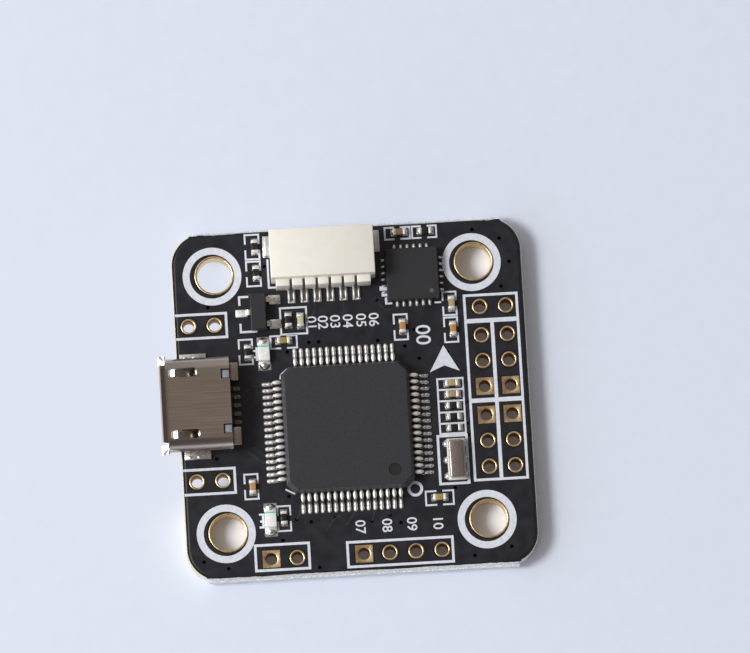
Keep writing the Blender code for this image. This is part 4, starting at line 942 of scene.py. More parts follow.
# %% Printed numbers
SIZE_PER_HEIGHT = 1.38
BOLDER = 0.012
NUMBER_HEIGHT = 0.78
SOCKET_NUMBERS = (1, 5.95, (-2.6, -1.72, -0.78, 0.2, 1.22, 2.2))
FRONT_NUMBERS = (7, -10.05, (0.25, 2.3, 4.2, 6.2))
ARROW_NUMBER = ("00", 5.9, 4.55, 1.15)
numbers = bmesh.new()


def number(digits, x, y, height):
    """Print a plain number that reads downwards, centred on a place."""
    text = bpy.data.curves.new("number", "FONT")
    text.body = digits
    text.size = height * SIZE_PER_HEIGHT
    text.align_x = "CENTER"
    text.align_y = "CENTER"
    text.extrude = INK / 2
    text.offset = BOLDER
    drawing = bpy.data.objects.new("number", text)
    bpy.context.scene.collection.objects.link(drawing)
    bpy.context.view_layer.update()
    mesh = bpy.data.meshes.new_from_object(drawing.evaluated_get(bpy.context.evaluated_depsgraph_get()))
    bpy.data.objects.remove(drawing)
    bpy.data.curves.remove(text)
    downwards = Matrix.Rotation(-math.pi / 2, 4, "Z")
    mesh.transform(print_place @ Matrix.Translation((x, y, TOP + INK / 2)) @ downwards)
    numbers.from_mesh(mesh)
    bpy.data.meshes.remove(mesh)


for first, y, columns in (SOCKET_NUMBERS, FRONT_NUMBERS):
    for pin, x in enumerate(columns, start=first):
        number(str(pin).zfill(2), x, y, NUMBER_HEIGHT)
number(*ARROW_NUMBER)
bmesh.ops.remove_doubles(numbers, verts=numbers.verts, dist=WELD)
finish_piece("printed_numbers", numbers, (white_ink,))

# %% [markdown]
# ## Processor
# The processor's package is moulded in two halves, so its sides lean in above and below the parting
# line, and its corners are cut. Starting from the top face with the round dimple that marks the first
# lead, the outline is drawn out step by step: a small round edge, the upper side, the lower side.

# %% Processor package
processor_low, processor_high = extent("processor_package")
processor_middle = (processor_low + processor_high) / 2
MOULD_SHRINK = 0.08
HALF = (processor_high.x - processor_low.x) / 2 - MOULD_SHRINK
CORNER_CUT = 0.6
DRAFT = 0.22
EDGE = 0.05
DIMPLE_RADIUS = 0.5
DIMPLE_DEPTH = 0.07
DIMPLE_STEPS = 40
DIMPLE_PLACE = (3.42, -3.55)
STEEP = 0.6
SIDE_AREA = 0.2


def cut_square(half, cut):
    """List the corners of a square with cut corners, centred on zero."""
    points = []
    for x, y in ((1, 1), (-1, 1), (-1, -1), (1, -1)):
        along_x = (x * (half - cut), y * half)
        along_y = (x * half, y * (half - cut))
        points += [along_y, along_x] if x * y > 0 else [along_x, along_y]
    return points


def open_edges(shape):
    """List the edges that have a face on one side only."""
    return [edge for edge in shape.edges if len(edge.link_faces) == 1]


def draw_out(shape, edges, rise, scale):
    """Extrude a loop of edges, lift it and scale it about the Z axis. Gives the new loop."""
    made = bmesh.ops.extrude_edge_only(shape, edges=edges)["geom"]
    verts = only(bmesh.types.BMVert, made)
    bmesh.ops.translate(shape, verts=verts, vec=(0, 0, rise))
    bmesh.ops.scale(shape, verts=verts, vec=(scale, scale, 1))
    return only(bmesh.types.BMEdge, made)


def moulding(bm, half, cut, height, draft, edge, place, dimples=(), side_finish=0, dimple_finish=0):
    """Add a square moulded package that stands on Z = 0, with round dimples in its top."""
    shape = bmesh.new()
    top_half = half - draft - edge
    rims = [circle(x, y, radius, DIMPLE_STEPS) for x, y, radius in dimples]
    fill(shape, [cut_square(top_half, cut)] + rims, height)
    for x, y, radius in dimples:
        rim = [e for e in open_edges(shape) if (e.verts[0].co.xy - Vector((x, y))).length < radius * 1.05]
        made = bmesh.ops.extrude_edge_only(shape, edges=rim)["geom"]
        bmesh.ops.translate(shape, verts=only(bmesh.types.BMVert, made), vec=(0, 0, -DIMPLE_DEPTH))
        bmesh.ops.edgeloop_fill(shape, edges=only(bmesh.types.BMEdge, made))
    rim = open_edges(shape)
    for rise, reach in ((-0.3 * edge, top_half + 0.7 * edge), (-0.7 * edge, half - draft),
                        (edge - height / 2, half), (-height / 2, half - draft)):
        now = max(abs(e.verts[0].co.x) for e in rim)
        rim = draw_out(shape, rim, rise, reach / now)
    bmesh.ops.edgeloop_fill(shape, edges=rim)
    bmesh.ops.recalc_face_normals(shape, faces=shape.faces)
    # Steep, large faces take the side finish, which on the processor is epoxy painted lighter than the top:
    # painted light.
    for face in shape.faces:
        if abs(face.normal.z) < STEEP and face.calc_area() > SIDE_AREA:
            face.material_index = side_finish
        # A floor below the top takes the dimple finish, painted dark as shade in the hollow.
        elif face.normal.z > LEVEL and face.calc_center_median().z < height - DIMPLE_DEPTH / 2:
            face.material_index = dimple_finish
    stamp(bm, shape, place)
    shape.free()


package = bmesh.new()
moulding(package, HALF, CORNER_CUT, processor_high.z - processor_low.z, DRAFT, EDGE,
         Matrix.Translation((processor_middle.x, processor_middle.y, processor_low.z)),
         [(*DIMPLE_PLACE, DIMPLE_RADIUS)], side_finish=1, dimple_finish=2)
finish_piece("processor_moulding", package, (mould_compound, side_painted_lighter, dimple_painted_dark),
             ["processor_package"], sharp=12)

# %% [markdown]
# ## Processor leads
# Each side has sixteen gull-wing leads half a millimetre apart. A lead leaves the package level,
# dives to the board and ends in a flat foot. One lead is a bent strip. A bright swelling lies on its
# shoulder, solder climbs round its foot, and the steep leg between them is tin painted dark as shade.
# A row is that lead stamped sixteen times, then turned to its side. On the right row the solder
# wetted the feet more, so they are mirrors, while the feet of the other rows are dull.

# %% Processor leads
LEADS = 16
LEAD_PITCH = 0.5
LEAD_WIDTH = 0.17
LEAD_THICKNESS = 0.15
LEAD_HEIGHT = (processor_high.z + processor_low.z) / 2 + LEAD_THICKNESS / 2
LEAD_BEND = 0.12
FOOT_HEIGHT = TOP + 0.05 + LEAD_THICKNESS
LEAD_PAD_HALF = 0.14
LEG, PAD, SHOULDER, FOOT = range(4)
# Each drop: distance from the package, height, half length, half width, rise, finish and fullness.
LEAD_DROPS = (
    (0.33, LEAD_HEIGHT - 0.06, 0.37, 0.165, 0.11, SHOULDER, 0.0),
    (0.96, TOP + 0.02, 0.26, 0.165, 0.26, FOOT, 0.6),
    (1.26, TOP + 0.02, 0.24, 0.17, 0.2, FOOT, 0.6),
)

lead_path = soften([(HALF - 0.1, LEAD_HEIGHT), (HALF + 0.5, LEAD_HEIGHT - 0.03),
                    (HALF + 0.64, FOOT_HEIGHT + 0.04), (HALF + 1.0, FOOT_HEIGHT)], LEAD_BEND)
one_lead = bmesh.new()
strip(one_lead, lead_path, LEAD_WIDTH, LEAD_THICKNESS, LEG)
for distance, height, half_x, half_y, rise, finish, fullness in LEAD_DROPS:
    mound(one_lead, (HALF + distance, 0, height), half_x, half_y, rise, finish, fullness=fullness)
block(one_lead, (HALF + 0.45, -LEAD_PAD_HALF, TOP), (HALF + 1.45, LEAD_PAD_HALF, TOP + 0.03), PAD,
      rounding=0.01, steps=1)
processor_place = Matrix.Translation((processor_middle.x, processor_middle.y, 0))
for turn_number, side in enumerate(("right", "rear", "left", "front")):
    row = bmesh.new()
    turned = processor_place @ Matrix.Rotation(turn_number * math.pi / 2, 4, "Z")
    for lead in range(LEADS):
        step = (lead - (LEADS - 1) / 2) * LEAD_PITCH
        stamp(row, one_lead, turned @ Matrix.Translation((0, step, 0)))
    foot_finish = solder if side == "right" else dull_tin
    finish_piece("lead_row_" + side, row, (tin_painted_dark, solder, dull_tin, foot_finish),
                 ["processor_leads_" + side])
one_lead.free()

# %% [markdown]
# ## Motion sensor
# The sensor is a flat package without leads. Its contacts are pads under the rim, so all that shows
# is a row of small solder drops along each side. A pale dot marks its first corner.

# %% Motion sensor
sensor_low, sensor_high = extent("motion_sensor")
sensor_middle = (sensor_low + sensor_high) / 2
sensor_half = (sensor_high.x - sensor_low.x) / 2
SENSOR_EDGE = 0.05
DOT_RADIUS = 0.17
DOT_HEIGHT = 0.012
DOT_INSET = 1.42
DOT_STEPS = 24
SENSOR_PADS = 6
SENSOR_PITCH = 0.5
SENSOR_PAD_HALF = 0.12

sensor = bmesh.new()
moulding(sensor, sensor_half, SENSOR_EDGE, sensor_high.z - sensor_low.z, 0.0, SENSOR_EDGE,
         Matrix.Translation((sensor_middle.x, sensor_middle.y, sensor_low.z)))
dot = [(0.0, 0.0), (DOT_RADIUS, 0.0), (DOT_RADIUS, DOT_HEIGHT), (0.0, DOT_HEIGHT)]
dot_place = (sensor_middle.x + DOT_INSET, sensor_middle.y - DOT_INSET, sensor_high.z)
turn(sensor, dot, Matrix.Translation(dot_place), segments=DOT_STEPS, finish=1)
for side in range(4):
    place = Matrix.Translation((sensor_middle.x, sensor_middle.y, TOP)) @ Matrix.Rotation(
        side * math.pi / 2, 4, "Z")
    drop_finish = 3 if side % 2 else 2
    for pad in range(SENSOR_PADS):
        y = (pad - (SENSOR_PADS - 1) / 2) * SENSOR_PITCH
        block(sensor, (sensor_half - 0.3, y - SENSOR_PAD_HALF, 0),
              (sensor_half + 0.38, y + SENSOR_PAD_HALF, 0.03), 2, rounding=0.01, steps=1, place=place)
        mound(sensor, (sensor_half + 0.18, y, 0.02), 0.27, 0.13, 0.26, drop_finish, place)
finish_piece("sensor_moulding", sensor, (sensor_compound, laser_mark, solder, dull_tin),
             ["motion_sensor"], sharp=12)

# %% [markdown]
# ## Cutting meshes
# The sockets have windows and hollows that are easiest to cut with a Boolean modifier. It works on
# objects, so two short-lived ones are made, and the result comes back as a mesh to go on with.


# %% Boolean helper
def carve(solid, tool):
    """Cut one mesh with another, and give what is left."""
    scene_objects = bpy.context.scene.collection.objects
    pair = []
    for bm in (solid, tool):
        bmesh.ops.recalc_face_normals(bm, faces=bm.faces)
        mesh = bpy.data.meshes.new("carving")
        bm.to_mesh(mesh)
        bm.free()
        pair.append(bpy.data.objects.new("carving", mesh))
        scene_objects.link(pair[-1])
    modifier = pair[0].modifiers.new("carve", "BOOLEAN")
    modifier.operation = "DIFFERENCE"
    modifier.object = pair[1]
    mesh = bpy.data.meshes.new_from_object(pair[0].evaluated_get(bpy.context.evaluated_depsgraph_get()))
    result = bmesh.new()
    result.from_mesh(mesh)
    for obj in pair:
        data = obj.data
        bpy.data.objects.remove(obj)
        bpy.data.meshes.remove(data)
    bpy.data.meshes.remove(mesh)
    return result

# %% [markdown]
# ## USB socket shell
# The shell is one sheet of plated steel, folded to a tube with a flat top and a narrower bottom. The
# two upper bends are wider than the lower ones, and the mouth is flared so that a plug finds its way
# in. The section is drawn once and extruded towards the mouth, where the last steps are widened. Then
# the sheet gets its thickness and the windows are cut.

# %% USB shell
shell_low, shell_high = extent("usb_shell")
USB_OVERHANG = 1.33
USB_DEPTH = 5.38
USB_MOUTH = board_low.x - USB_OVERHANG
USB_BACK = USB_MOUTH + USB_DEPTH
USB_MIDDLE_Y = (shell_low.y + shell_high.y) / 2
USB_HALF = 3.45
USB_BOTTOM_HALF = 2.65
USB_TOP = TOP + 2.6
USB_BOTTOM = TOP + 0.12
USB_FOLD = TOP + 1.1
USB_MID_HEIGHT = (USB_TOP + USB_BOTTOM) / 2
USB_WALL = 0.15
USB_BENDS = (0.55, 0.55, 0.9, 0.9, 0.55, 0.55)
USB_BEND_STEPS = 12
LIP_LENGTH = 0.5
LIP_RISE = 0.3
LIP_CURVE = (0.08, 0.32, 0.64, 1.0)

usb_corners = [(USB_BOTTOM_HALF, USB_BOTTOM), (USB_HALF, USB_FOLD), (USB_HALF, USB_TOP),
               (-USB_HALF, USB_TOP), (-USB_HALF, USB_FOLD), (-USB_BOTTOM_HALF, USB_BOTTOM)]
usb_section = soften(usb_corners, USB_BENDS, steps=USB_BEND_STEPS, closed=True)
shell = bmesh.new()
ring = [shell.verts.new((USB_BACK, USB_MIDDLE_Y + y, z)) for y, z in usb_section]
mouth_edges = [shell.edges.new((ring[index - 1], ring[index])) for index in range(len(ring))]
half_height = (USB_TOP - USB_BOTTOM) / 2
about_middle = Matrix.Translation((0, -USB_MIDDLE_Y, -USB_MID_HEIGHT))
lip_steps = [(USB_BACK - USB_MOUTH - LIP_LENGTH, 0.0)]
lip_steps += [(LIP_LENGTH / len(LIP_CURVE), LIP_RISE * rise) for rise in LIP_CURVE]
widened = 0.0
for length, rise in lip_steps:
    made = bmesh.ops.extrude_edge_only(shell, edges=mouth_edges)["geom"]
    mouth_edges = only(bmesh.types.BMEdge, made)
    verts = only(bmesh.types.BMVert, made)
    bmesh.ops.translate(shell, verts=verts, vec=(-length, 0, 0))
    flare = (1, (USB_HALF + rise) / (USB_HALF + widened), (half_height + rise) / (half_height + widened))
    bmesh.ops.scale(shell, verts=verts, vec=flare, space=about_middle)
    widened = rise
bmesh.ops.recalc_face_normals(shell, faces=shell.faces)
bmesh.ops.solidify(shell, geom=shell.faces[:], thickness=USB_WALL)
print("usb shell faces before cutting:", len(shell.faces))

# %% [markdown]
# The windows are two long slots that free the latch springs, two square notches for the insulator's
# lugs at the back, and the cuts that part the flared lip at the corners. The sheet's edges round the
# windows are broken a little, as a press leaves them.

# %% USB windows
STEEL, SOLDERED, BRIGHT = range(3)
CUT_PAST = 1
SLOT_HALF_SPACING = 2.38
SLOT_INSET = 0.68
SLOT_LENGTH = 2.22
SLOT_HALF = 0.35
SLOT_ROUND = 0.26
LUG_LENGTH = 0.66
LUG_WIDTH = 0.74
LUG_HALF_SPACING = 2.125
LIP_HALF = 3.0
LIP_CUT = 0.45
LIP_BOTTOM_INSET = 0.3
RIM_ANGLE = 1.0
RIM_ROUND = 0.03


def beside(side, near, far):
    """Give the span in Y between two distances from the socket's middle, on one side of it."""
    return sorted((USB_MIDDLE_Y + side * near, USB_MIDDLE_Y + side * far))


windows = bmesh.new()
cut_low = USB_TOP - 3 * USB_WALL
slot_end = USB_MOUTH + SLOT_INSET + SLOT_LENGTH
for side in (-1, 1):
    y = USB_MIDDLE_Y + side * SLOT_HALF_SPACING
    slot = rectangle(USB_MOUTH + SLOT_INSET, y - SLOT_HALF, slot_end, y + SLOT_HALF)
    plate(windows, [soften(slot, SLOT_ROUND, steps=6, closed=True)], cut_low, USB_TOP + USB_WALL)
    y = USB_MIDDLE_Y + side * LUG_HALF_SPACING
    block(windows, (USB_BACK - LUG_LENGTH, y - LUG_WIDTH / 2, cut_low),
          (USB_BACK + CUT_PAST, y + LUG_WIDTH / 2, USB_TOP + CUT_PAST))
    near, far = beside(side, LIP_HALF, USB_HALF + CUT_PAST)
    block(windows, (USB_MOUTH - CUT_PAST, near, USB_TOP - LIP_CUT),
          (USB_MOUTH + LIP_LENGTH, far, USB_TOP + CUT_PAST))
    near, far = beside(side, USB_BOTTOM_HALF - LIP_BOTTOM_INSET, USB_HALF + CUT_PAST)
    block(windows, (USB_MOUTH - CUT_PAST, near, USB_BOTTOM - CUT_PAST),
          (USB_MOUTH + LIP_LENGTH, far, USB_BOTTOM + LIP_CUT))
shell = carve(shell, windows)
window_rims = []
for edge in shell.edges:
    level = all(abs(v.co.z - USB_TOP) < RIM_ROUND for v in edge.verts)
    if level and len(edge.link_faces) == 2 and edge.calc_face_angle(0) > RIM_ANGLE:
        window_rims.append(edge)
round_edges(shell, window_rims, RIM_ROUND, 2)
# The cut corners of the flared lip take the near-white steel: painted highlight.
for face in shell.faces:
    middle = face.calc_center_median()
    if middle.x < USB_MOUTH + LIP_LENGTH and abs(middle.y - USB_MIDDLE_Y) > LIP_HALF:
        face.material_index = BRIGHT
print("window rims rounded:", len(window_rims))

# %% [markdown]
# In each slot lies a spring: its tip rises like a ramp, its leaf dives into the shell, and at the far
# end of the slot the sheet is pressed down in a smooth bulge. The corners of the mouth are ramps too.
# Tips, bulges and corners take the near-white steel of a painted highlight, and so does a narrow
# ledge along both sides. Solder tabs stand at the sides and at the back of the shell.

# %% USB springs and tabs
# Paths of sheet: distances from their start along the socket, and from the shell's top.
SPRING_TIP = ((0.0, -0.14), (0.52, 0.14), (0.6, -0.2))
SPRING_LEAF = ((0.5, -0.1), (1.1, -0.3), (1.9, -0.7))
MOUTH_CORNER = ((-0.08, -0.76), (0.46, -0.4), (0.52, -0.7))
SPRING_START = USB_MOUTH + SLOT_INSET + 0.02
SIDE_TAB = (USB_MOUTH + 1.6, USB_MOUTH + 3.65)
TAB_REACH = {-1: 4.05, 1: 4.17}
TAB_LUMPS = (0.45, 1.15)
TAB_LUMP_Y = 3.85
REAR_TAB_SPACING = 2.5
REAR_TAB_HALF = 0.7
SEAM = (TOP + 1.25, TOP + 1.38)


def from_top(points, start):
    """Place a path by its start along the socket and by the shell's top."""
    return [(start + x, USB_TOP + z) for x, z in points]


for side in (-1, 1):
    y = USB_MIDDLE_Y + side * SLOT_HALF_SPACING
    at_slot = Matrix.Translation((0, y, 0))
    strip(shell, soften(from_top(SPRING_TIP, SPRING_START), 0.05), 0.56, 0.08, BRIGHT, at_slot)
    strip(shell, from_top(SPRING_LEAF, SPRING_START), 0.5, 0.12, STEEL, at_slot)
    mound(shell, (slot_end + 0.03, y, USB_TOP - 0.17), 0.2, SLOT_HALF - 0.02, 0.18, BRIGHT)
    at_corner = Matrix.Translation((0, USB_MIDDLE_Y + side * (USB_HALF - 0.02), 0))
    strip(shell, soften(from_top(MOUTH_CORNER, USB_MOUTH), 0.06), 0.72, 0.1, BRIGHT, at_corner)
    near, far = beside(side, USB_BOTTOM_HALF - 0.2, TAB_REACH[side])
    block(shell, (SIDE_TAB[0], near, TOP + 0.01), (SIDE_TAB[1], far, TOP + 0.25), SOLDERED, rounding=0.05)
    for lump in TAB_LUMPS:
        lump_place = (SIDE_TAB[0] + lump, USB_MIDDLE_Y + side * TAB_LUMP_Y, TOP + 0.23)
        mound(shell, lump_place, 0.2, 0.13, 0.07, BRIGHT)
    y = USB_MIDDLE_Y + side * REAR_TAB_SPACING
    block(shell, (USB_BACK - 0.2, y - REAR_TAB_HALF, TOP + 0.03),
          (USB_BACK + 0.68, y + REAR_TAB_HALF, TOP + 1.15), STEEL, rounding=0.08, steps=3)
    near, far = beside(side, USB_HALF - 0.2, USB_HALF + 0.08)
    block(shell, (USB_MOUTH + LIP_LENGTH, near, SEAM[0]), (USB_BACK - 0.05, far, SEAM[1]), BRIGHT,
          rounding=0.03)
finish_piece("usb_folded_shell", shell, (shell_steel, solder, steel_painted_highlight), ["usb_shell"],
             sharp=35)

# %% [markdown]
# ## USB insulator and contacts
# Inside the shell a nylon block carries a tongue with five contacts under it. Two lugs lock it into
# the notches of the shell, and behind it the contacts come out as short tails on the board.

# %% USB insulator and contacts
ENDWAYS = Matrix(((0, 0, 1, 0), (1, 0, 0, 0), (0, 1, 0, 0), (0, 0, 0, 1)))
BLOCK_SHARE = (0.9, 0.78)
BLOCK_LENGTH = 1.5
TONGUE_HALF = 1.95
STEP_HALF = 1.7
LUG_PLAY = 0.06

insulator_low = extent("usb_insulator")[0]
contact_high = extent("usb_contact_1")[1]
insulator = bmesh.new()
block_section = [(BLOCK_SHARE[0] * y + USB_MIDDLE_Y, USB_MID_HEIGHT + BLOCK_SHARE[1] * (z - USB_MID_HEIGHT))
                 for y, z in usb_section]
plate(insulator, [block_section], USB_BACK - BLOCK_LENGTH, USB_BACK - 0.02, 0, ENDWAYS)
block(insulator, (insulator_low.x, USB_MIDDLE_Y - TONGUE_HALF, contact_high.z + 0.03),
      (USB_BACK - 1.2, USB_MIDDLE_Y + TONGUE_HALF, contact_high.z + 0.58), 0, rounding=0.08)
block(insulator, (USB_BACK - 0.5, USB_MIDDLE_Y - STEP_HALF, TOP + 0.5),
      (USB_BACK + 0.08, USB_MIDDLE_Y + STEP_HALF, TOP + 1.7), 0, rounding=0.05)
for side in (-1, 1):
    y = USB_MIDDLE_Y + side * LUG_HALF_SPACING
    block(insulator, (USB_BACK - LUG_LENGTH + 0.05, y - LUG_WIDTH / 2 + LUG_PLAY, USB_MID_HEIGHT),
          (USB_BACK - 0.02, y + LUG_WIDTH / 2 - LUG_PLAY, USB_TOP - 0.02), 1, rounding=0.06)
finish_piece("usb_insulator_block", insulator, (grey_nylon, lug_plastic), ["usb_insulator"])

CONTACT_THICKNESS = 0.15
CONTACT_BEND = 0.14
for contact in range(1, 6):
    low, high = extent("usb_contact_" + str(contact))
    middle_y = (low.y + high.y) / 2
    tail = bmesh.new()
    end = high.x - 0.2
    path = soften([(low.x, high.z), (end - 0.62, high.z), (end - 0.42, TOP + 0.2), (end, TOP + 0.18)],
                  CONTACT_BEND)
    strip(tail, path, high.y - low.y, CONTACT_THICKNESS, 0, Matrix.Translation((0, middle_y, 0)))
    mound(tail, (end - 0.08, middle_y, TOP + 0.01), 0.28, 0.19, 0.2, 0)
    # The tails are tin painted dark as shade.
    finish_piece("usb_tail_" + str(contact), tail, (tin_painted_dark,),
                 ["usb_contact_" + str(contact)])

# %% [markdown]
# ## Wire socket
# The housing is a nylon block with a mouth towards the rear edge. At its back a lower ledge is
# divided into teeth, and a pin comes out between each two. A rounded box is the body, the mouth and
# the slots are cut out of it, and the teeth are smaller boxes set against it.

# %% Wire socket housing
housing_low, housing_high = extent("wire_socket_housing")
wire_middle_x = (housing_low.x + housing_high.x) / 2
WIRE_PINS = 6
WIRE_PITCH = 1.0
HOUSING_ROUND = 0.07
LEDGE_DEPTH = 0.55
LEDGE_TOP = TOP + 2.1
CAVITY_DEPTH = 2.9
CAVITY_WALL = 0.8
CAVITY_FLOOR = 0.6
CAVITY_ROOF = 0.5
SIDE_NOTCH = 1.63
SIDE_NOTCH_DEPTH = 0.26
PIN_SLOT_HALF = 0.16
PIN_SLOT_TOP = 1.5
TOOTH_GAP = 0.18
TOOTH_INSET = 0.35

wire_places = [wire_middle_x + (pin - (WIRE_PINS - 1) / 2) * WIRE_PITCH for pin in range(WIRE_PINS)]
housing = bmesh.new()
ledge_y = housing_low.y + LEDGE_DEPTH
block(housing, (housing_low.x, ledge_y, housing_low.z), housing_high, 0, rounding=HOUSING_ROUND, steps=3)
cavity = bmesh.new()
cavity_y = housing_high.y - CAVITY_DEPTH
block(cavity, (housing_low.x + CAVITY_WALL, cavity_y, TOP + CAVITY_FLOOR),
      (housing_high.x - CAVITY_WALL, housing_high.y + CUT_PAST, housing_high.z - CAVITY_ROOF), 0,
      rounding=0.12, steps=3)
for side_x, step in ((housing_low.x, -1), (housing_high.x, 1)):
    near, far = sorted((side_x - step * SIDE_NOTCH_DEPTH, side_x + step))
    block(cavity, (near, housing_high.y - SIDE_NOTCH, TOP - CUT_PAST),
          (far, housing_high.y + CUT_PAST, TOP + SIDE_NOTCH))
for x in wire_places:
    block(cavity, (x - PIN_SLOT_HALF, housing_low.y - CUT_PAST, TOP - CUT_PAST),
          (x + PIN_SLOT_HALF, cavity_y + 0.5, TOP + PIN_SLOT_TOP))
housing = carve(housing, cavity)
tooth_edges = [housing_low.x + TOOTH_INSET]
for x in wire_places:
    tooth_edges += [x - TOOTH_GAP / 2, x + TOOTH_GAP / 2]
tooth_edges.append(housing_high.x - TOOTH_INSET)
for left, right in zip(tooth_edges[0::2], tooth_edges[1::2]):
    block(housing, (left, housing_low.y, housing_low.z), (right, ledge_y + 0.2, LEDGE_TOP), 0,
          rounding=HOUSING_ROUND, steps=3)
finish_piece("wire_housing", housing, (cream_nylon,), ["wire_socket_housing"], sharp=35)

# %% [markdown]
# The six pins run from the mouth through the back wall, dive to the board and end in soldered tails.
# The solder climbs both sides of a tail, which gives each one two bright streaks, and the strip between
# them is tin painted dark as shade. At both ends of the housing a tinned anchor tab holds the socket down.

# %% Wire pins and anchor tabs
WIRE_WIDTH = 0.16
WIRE_THICKNESS = 0.22
WIRE_BEND = 0.22
WIRE_PAD_HALF = 0.3
TAB_THICKNESS = 0.2
TAB_FOOT = 0.3
TAB_SOLDER = 0.1
TAB_ROUND = 0.04

for pin in range(1, WIRE_PINS + 1):
    low, high = extent("wire_contact_" + str(pin))
    x = (low.x + high.x) / 2
    contact = bmesh.new()
    reach = high.y - low.y
    path = soften([(0.0, high.z), (reach - 1.25, high.z), (reach - 0.72, TOP + 0.3), (reach, TOP + 0.24)],
                  WIRE_BEND, steps=6)
    backwards = Matrix.Translation((x, high.y, 0)) @ Matrix.Rotation(-math.pi / 2, 4, "Z")
    strip(contact, path, WIRE_WIDTH, WIRE_THICKNESS, 0, backwards)
    for side in (-1, 1):
        mound(contact, (reach - 0.42, side * 0.18, TOP + 0.01), 0.58, 0.14, 0.32, 1, backwards)
    block(contact, (reach - 0.9, -WIRE_PAD_HALF, TOP), (reach + 0.14, WIRE_PAD_HALF, TOP + 0.04), 1,
          rounding=0.015, steps=1, place=backwards)
    finish_piece("wire_pin_" + str(pin), contact, (tin_painted_dark, dull_tin),
                 ["wire_contact_" + str(pin)])

for name, step in (("left", -1), ("right", 1)):
    low, high = extent("wire_tab_" + name)
    tab = bmesh.new()
    upright, foot = (high.x, low.x) if step < 0 else (low.x, high.x)
    near, far = sorted((upright, upright + step * TAB_THICKNESS))
    block(tab, (near, low.y, low.z), (far, high.y, high.z), 0, rounding=TAB_ROUND)
    near, far = sorted((upright, foot))
    block(tab, (near, low.y, low.z), (far, high.y, low.z + TAB_FOOT), 0, rounding=TAB_ROUND)
    near, far = sorted((upright, foot + step * TAB_SOLDER))
    block(tab, (near, low.y - TAB_SOLDER, TOP), (far, high.y + TAB_SOLDER, TOP + 0.12), 1, rounding=TAB_ROUND)
    finish_piece("anchor_tab_" + name, tab, (tin_plate, solder), ["wire_tab_" + name])

# %% [markdown]
# ## Chip resistors and capacitors
# A chip is a ceramic block with a metal cap on each end. The caps wrap round the block, so they stand
# a little proud. A resistor shows its black glaze between the caps, a capacitor its own brown.

# %% Chips
CAP_LENGTH = 0.24
CAP_PROUD = 0.02
CAP_ROUND = 0.045
CAP_OVERLAP = 0.1
CHIP_PAD_PAST = 0.16
CHIP_PAD_SIDE = 0.03
PAD_SOLDER = 0.025
PAD_ROUND = 0.008

for name in [node for node in frame["nodes"] if node.startswith(("resistor_", "capacitor_"))]:
    low, high = extent(name)
    middle = (low + high) / 2
    along_y = high.y - low.y > high.x - low.x
    half_length = (high.y - low.y if along_y else high.x - low.x) / 2
    half_width = (high.x - low.x if along_y else high.y - low.y) / 2
    height = high.z - TOP
    quarter = Matrix.Rotation(math.pi / 2 if along_y else 0, 4, "Z")
    place = Matrix.Translation((middle.x, middle.y, TOP)) @ quarter
    chip = bmesh.new()
    shoulder = half_length - CAP_LENGTH
    block(chip, (-shoulder - CAP_OVERLAP, -half_width + CAP_PROUD, 0.05),
          (shoulder + CAP_OVERLAP, half_width - CAP_PROUD, height - CAP_PROUD), 0, rounding=0.02, place=place)
    for end in (0, 1):
        turned = place @ Matrix.Rotation(end * math.pi, 4, "Z")
        block(chip, (shoulder, -half_width, 0.03), (half_length, half_width, height), 1, rounding=CAP_ROUND,
              steps=3, place=turned)
        mound(chip, (half_length - 0.02, 0, 0.01), 0.16, half_width * 1.05, height * 0.75, 2, turned)
        block(chip, (shoulder - 0.02, -half_width - CHIP_PAD_SIDE, 0),
              (half_length + CHIP_PAD_PAST, half_width + CHIP_PAD_SIDE, PAD_SOLDER), 2,
              rounding=PAD_ROUND, steps=1, place=turned)
    is_resistor = name.startswith("resistor")
    body = resistor_glaze if is_resistor else ceramics[name]
    finish_piece("chip_" + name, chip, (body, dull_tin, solder),
                 [name])

# %% [markdown]
# ## Regulator
# The regulator is a small moulding with one lead on its left and two on its right. Its leads are bent
# strips like the processor's, only wider, and each ends in a flat bed of solder.

# %% Regulator
regulator_low, regulator_high = extent("regulator_package")
regulator_middle = (regulator_low + regulator_high) / 2
REGULATOR_DRAFT = 0.08
REGULATOR_ROUND = 0.04
FLAT_ANGLE = math.radians(0.5)
EDGE_ANGLE = math.radians(30)
REGULATOR_SIDE = 0.3

regulator = bmesh.new()
block(regulator, regulator_low, regulator_high, 0)
uprights = [e for e in regulator.edges if abs((e.verts[0].co - e.verts[1].co).z) > 0.5]
bmesh.ops.subdivide_edges(regulator, edges=uprights, cuts=1)
for vert in regulator.verts:
    if abs(vert.co.z - regulator_middle.z) > 0.1:
        vert.co.x -= math.copysign(REGULATOR_DRAFT, vert.co.x - regulator_middle.x)
        vert.co.y -= math.copysign(REGULATOR_DRAFT, vert.co.y - regulator_middle.y)
bmesh.ops.dissolve_limit(regulator, angle_limit=FLAT_ANGLE, verts=regulator.verts, edges=regulator.edges)
edges = [e for e in regulator.edges if len(e.link_faces) == 2 and e.calc_face_angle(0) > EDGE_ANGLE]
bmesh.ops.bevel(regulator, geom=edges, offset=REGULATOR_ROUND, segments=2, profile=0.5, affect="EDGES",
                material=-1, clamp_overlap=True)
# Side faces take the epoxy painted lighter than the top: painted light.
for face in regulator.faces:
    if abs(face.normal.z) < REGULATOR_SIDE:
        face.material_index = 1
finish_piece("regulator_moulding", regulator, (sensor_compound, side_painted_lighter),
             ["regulator_package"], sharp=20)

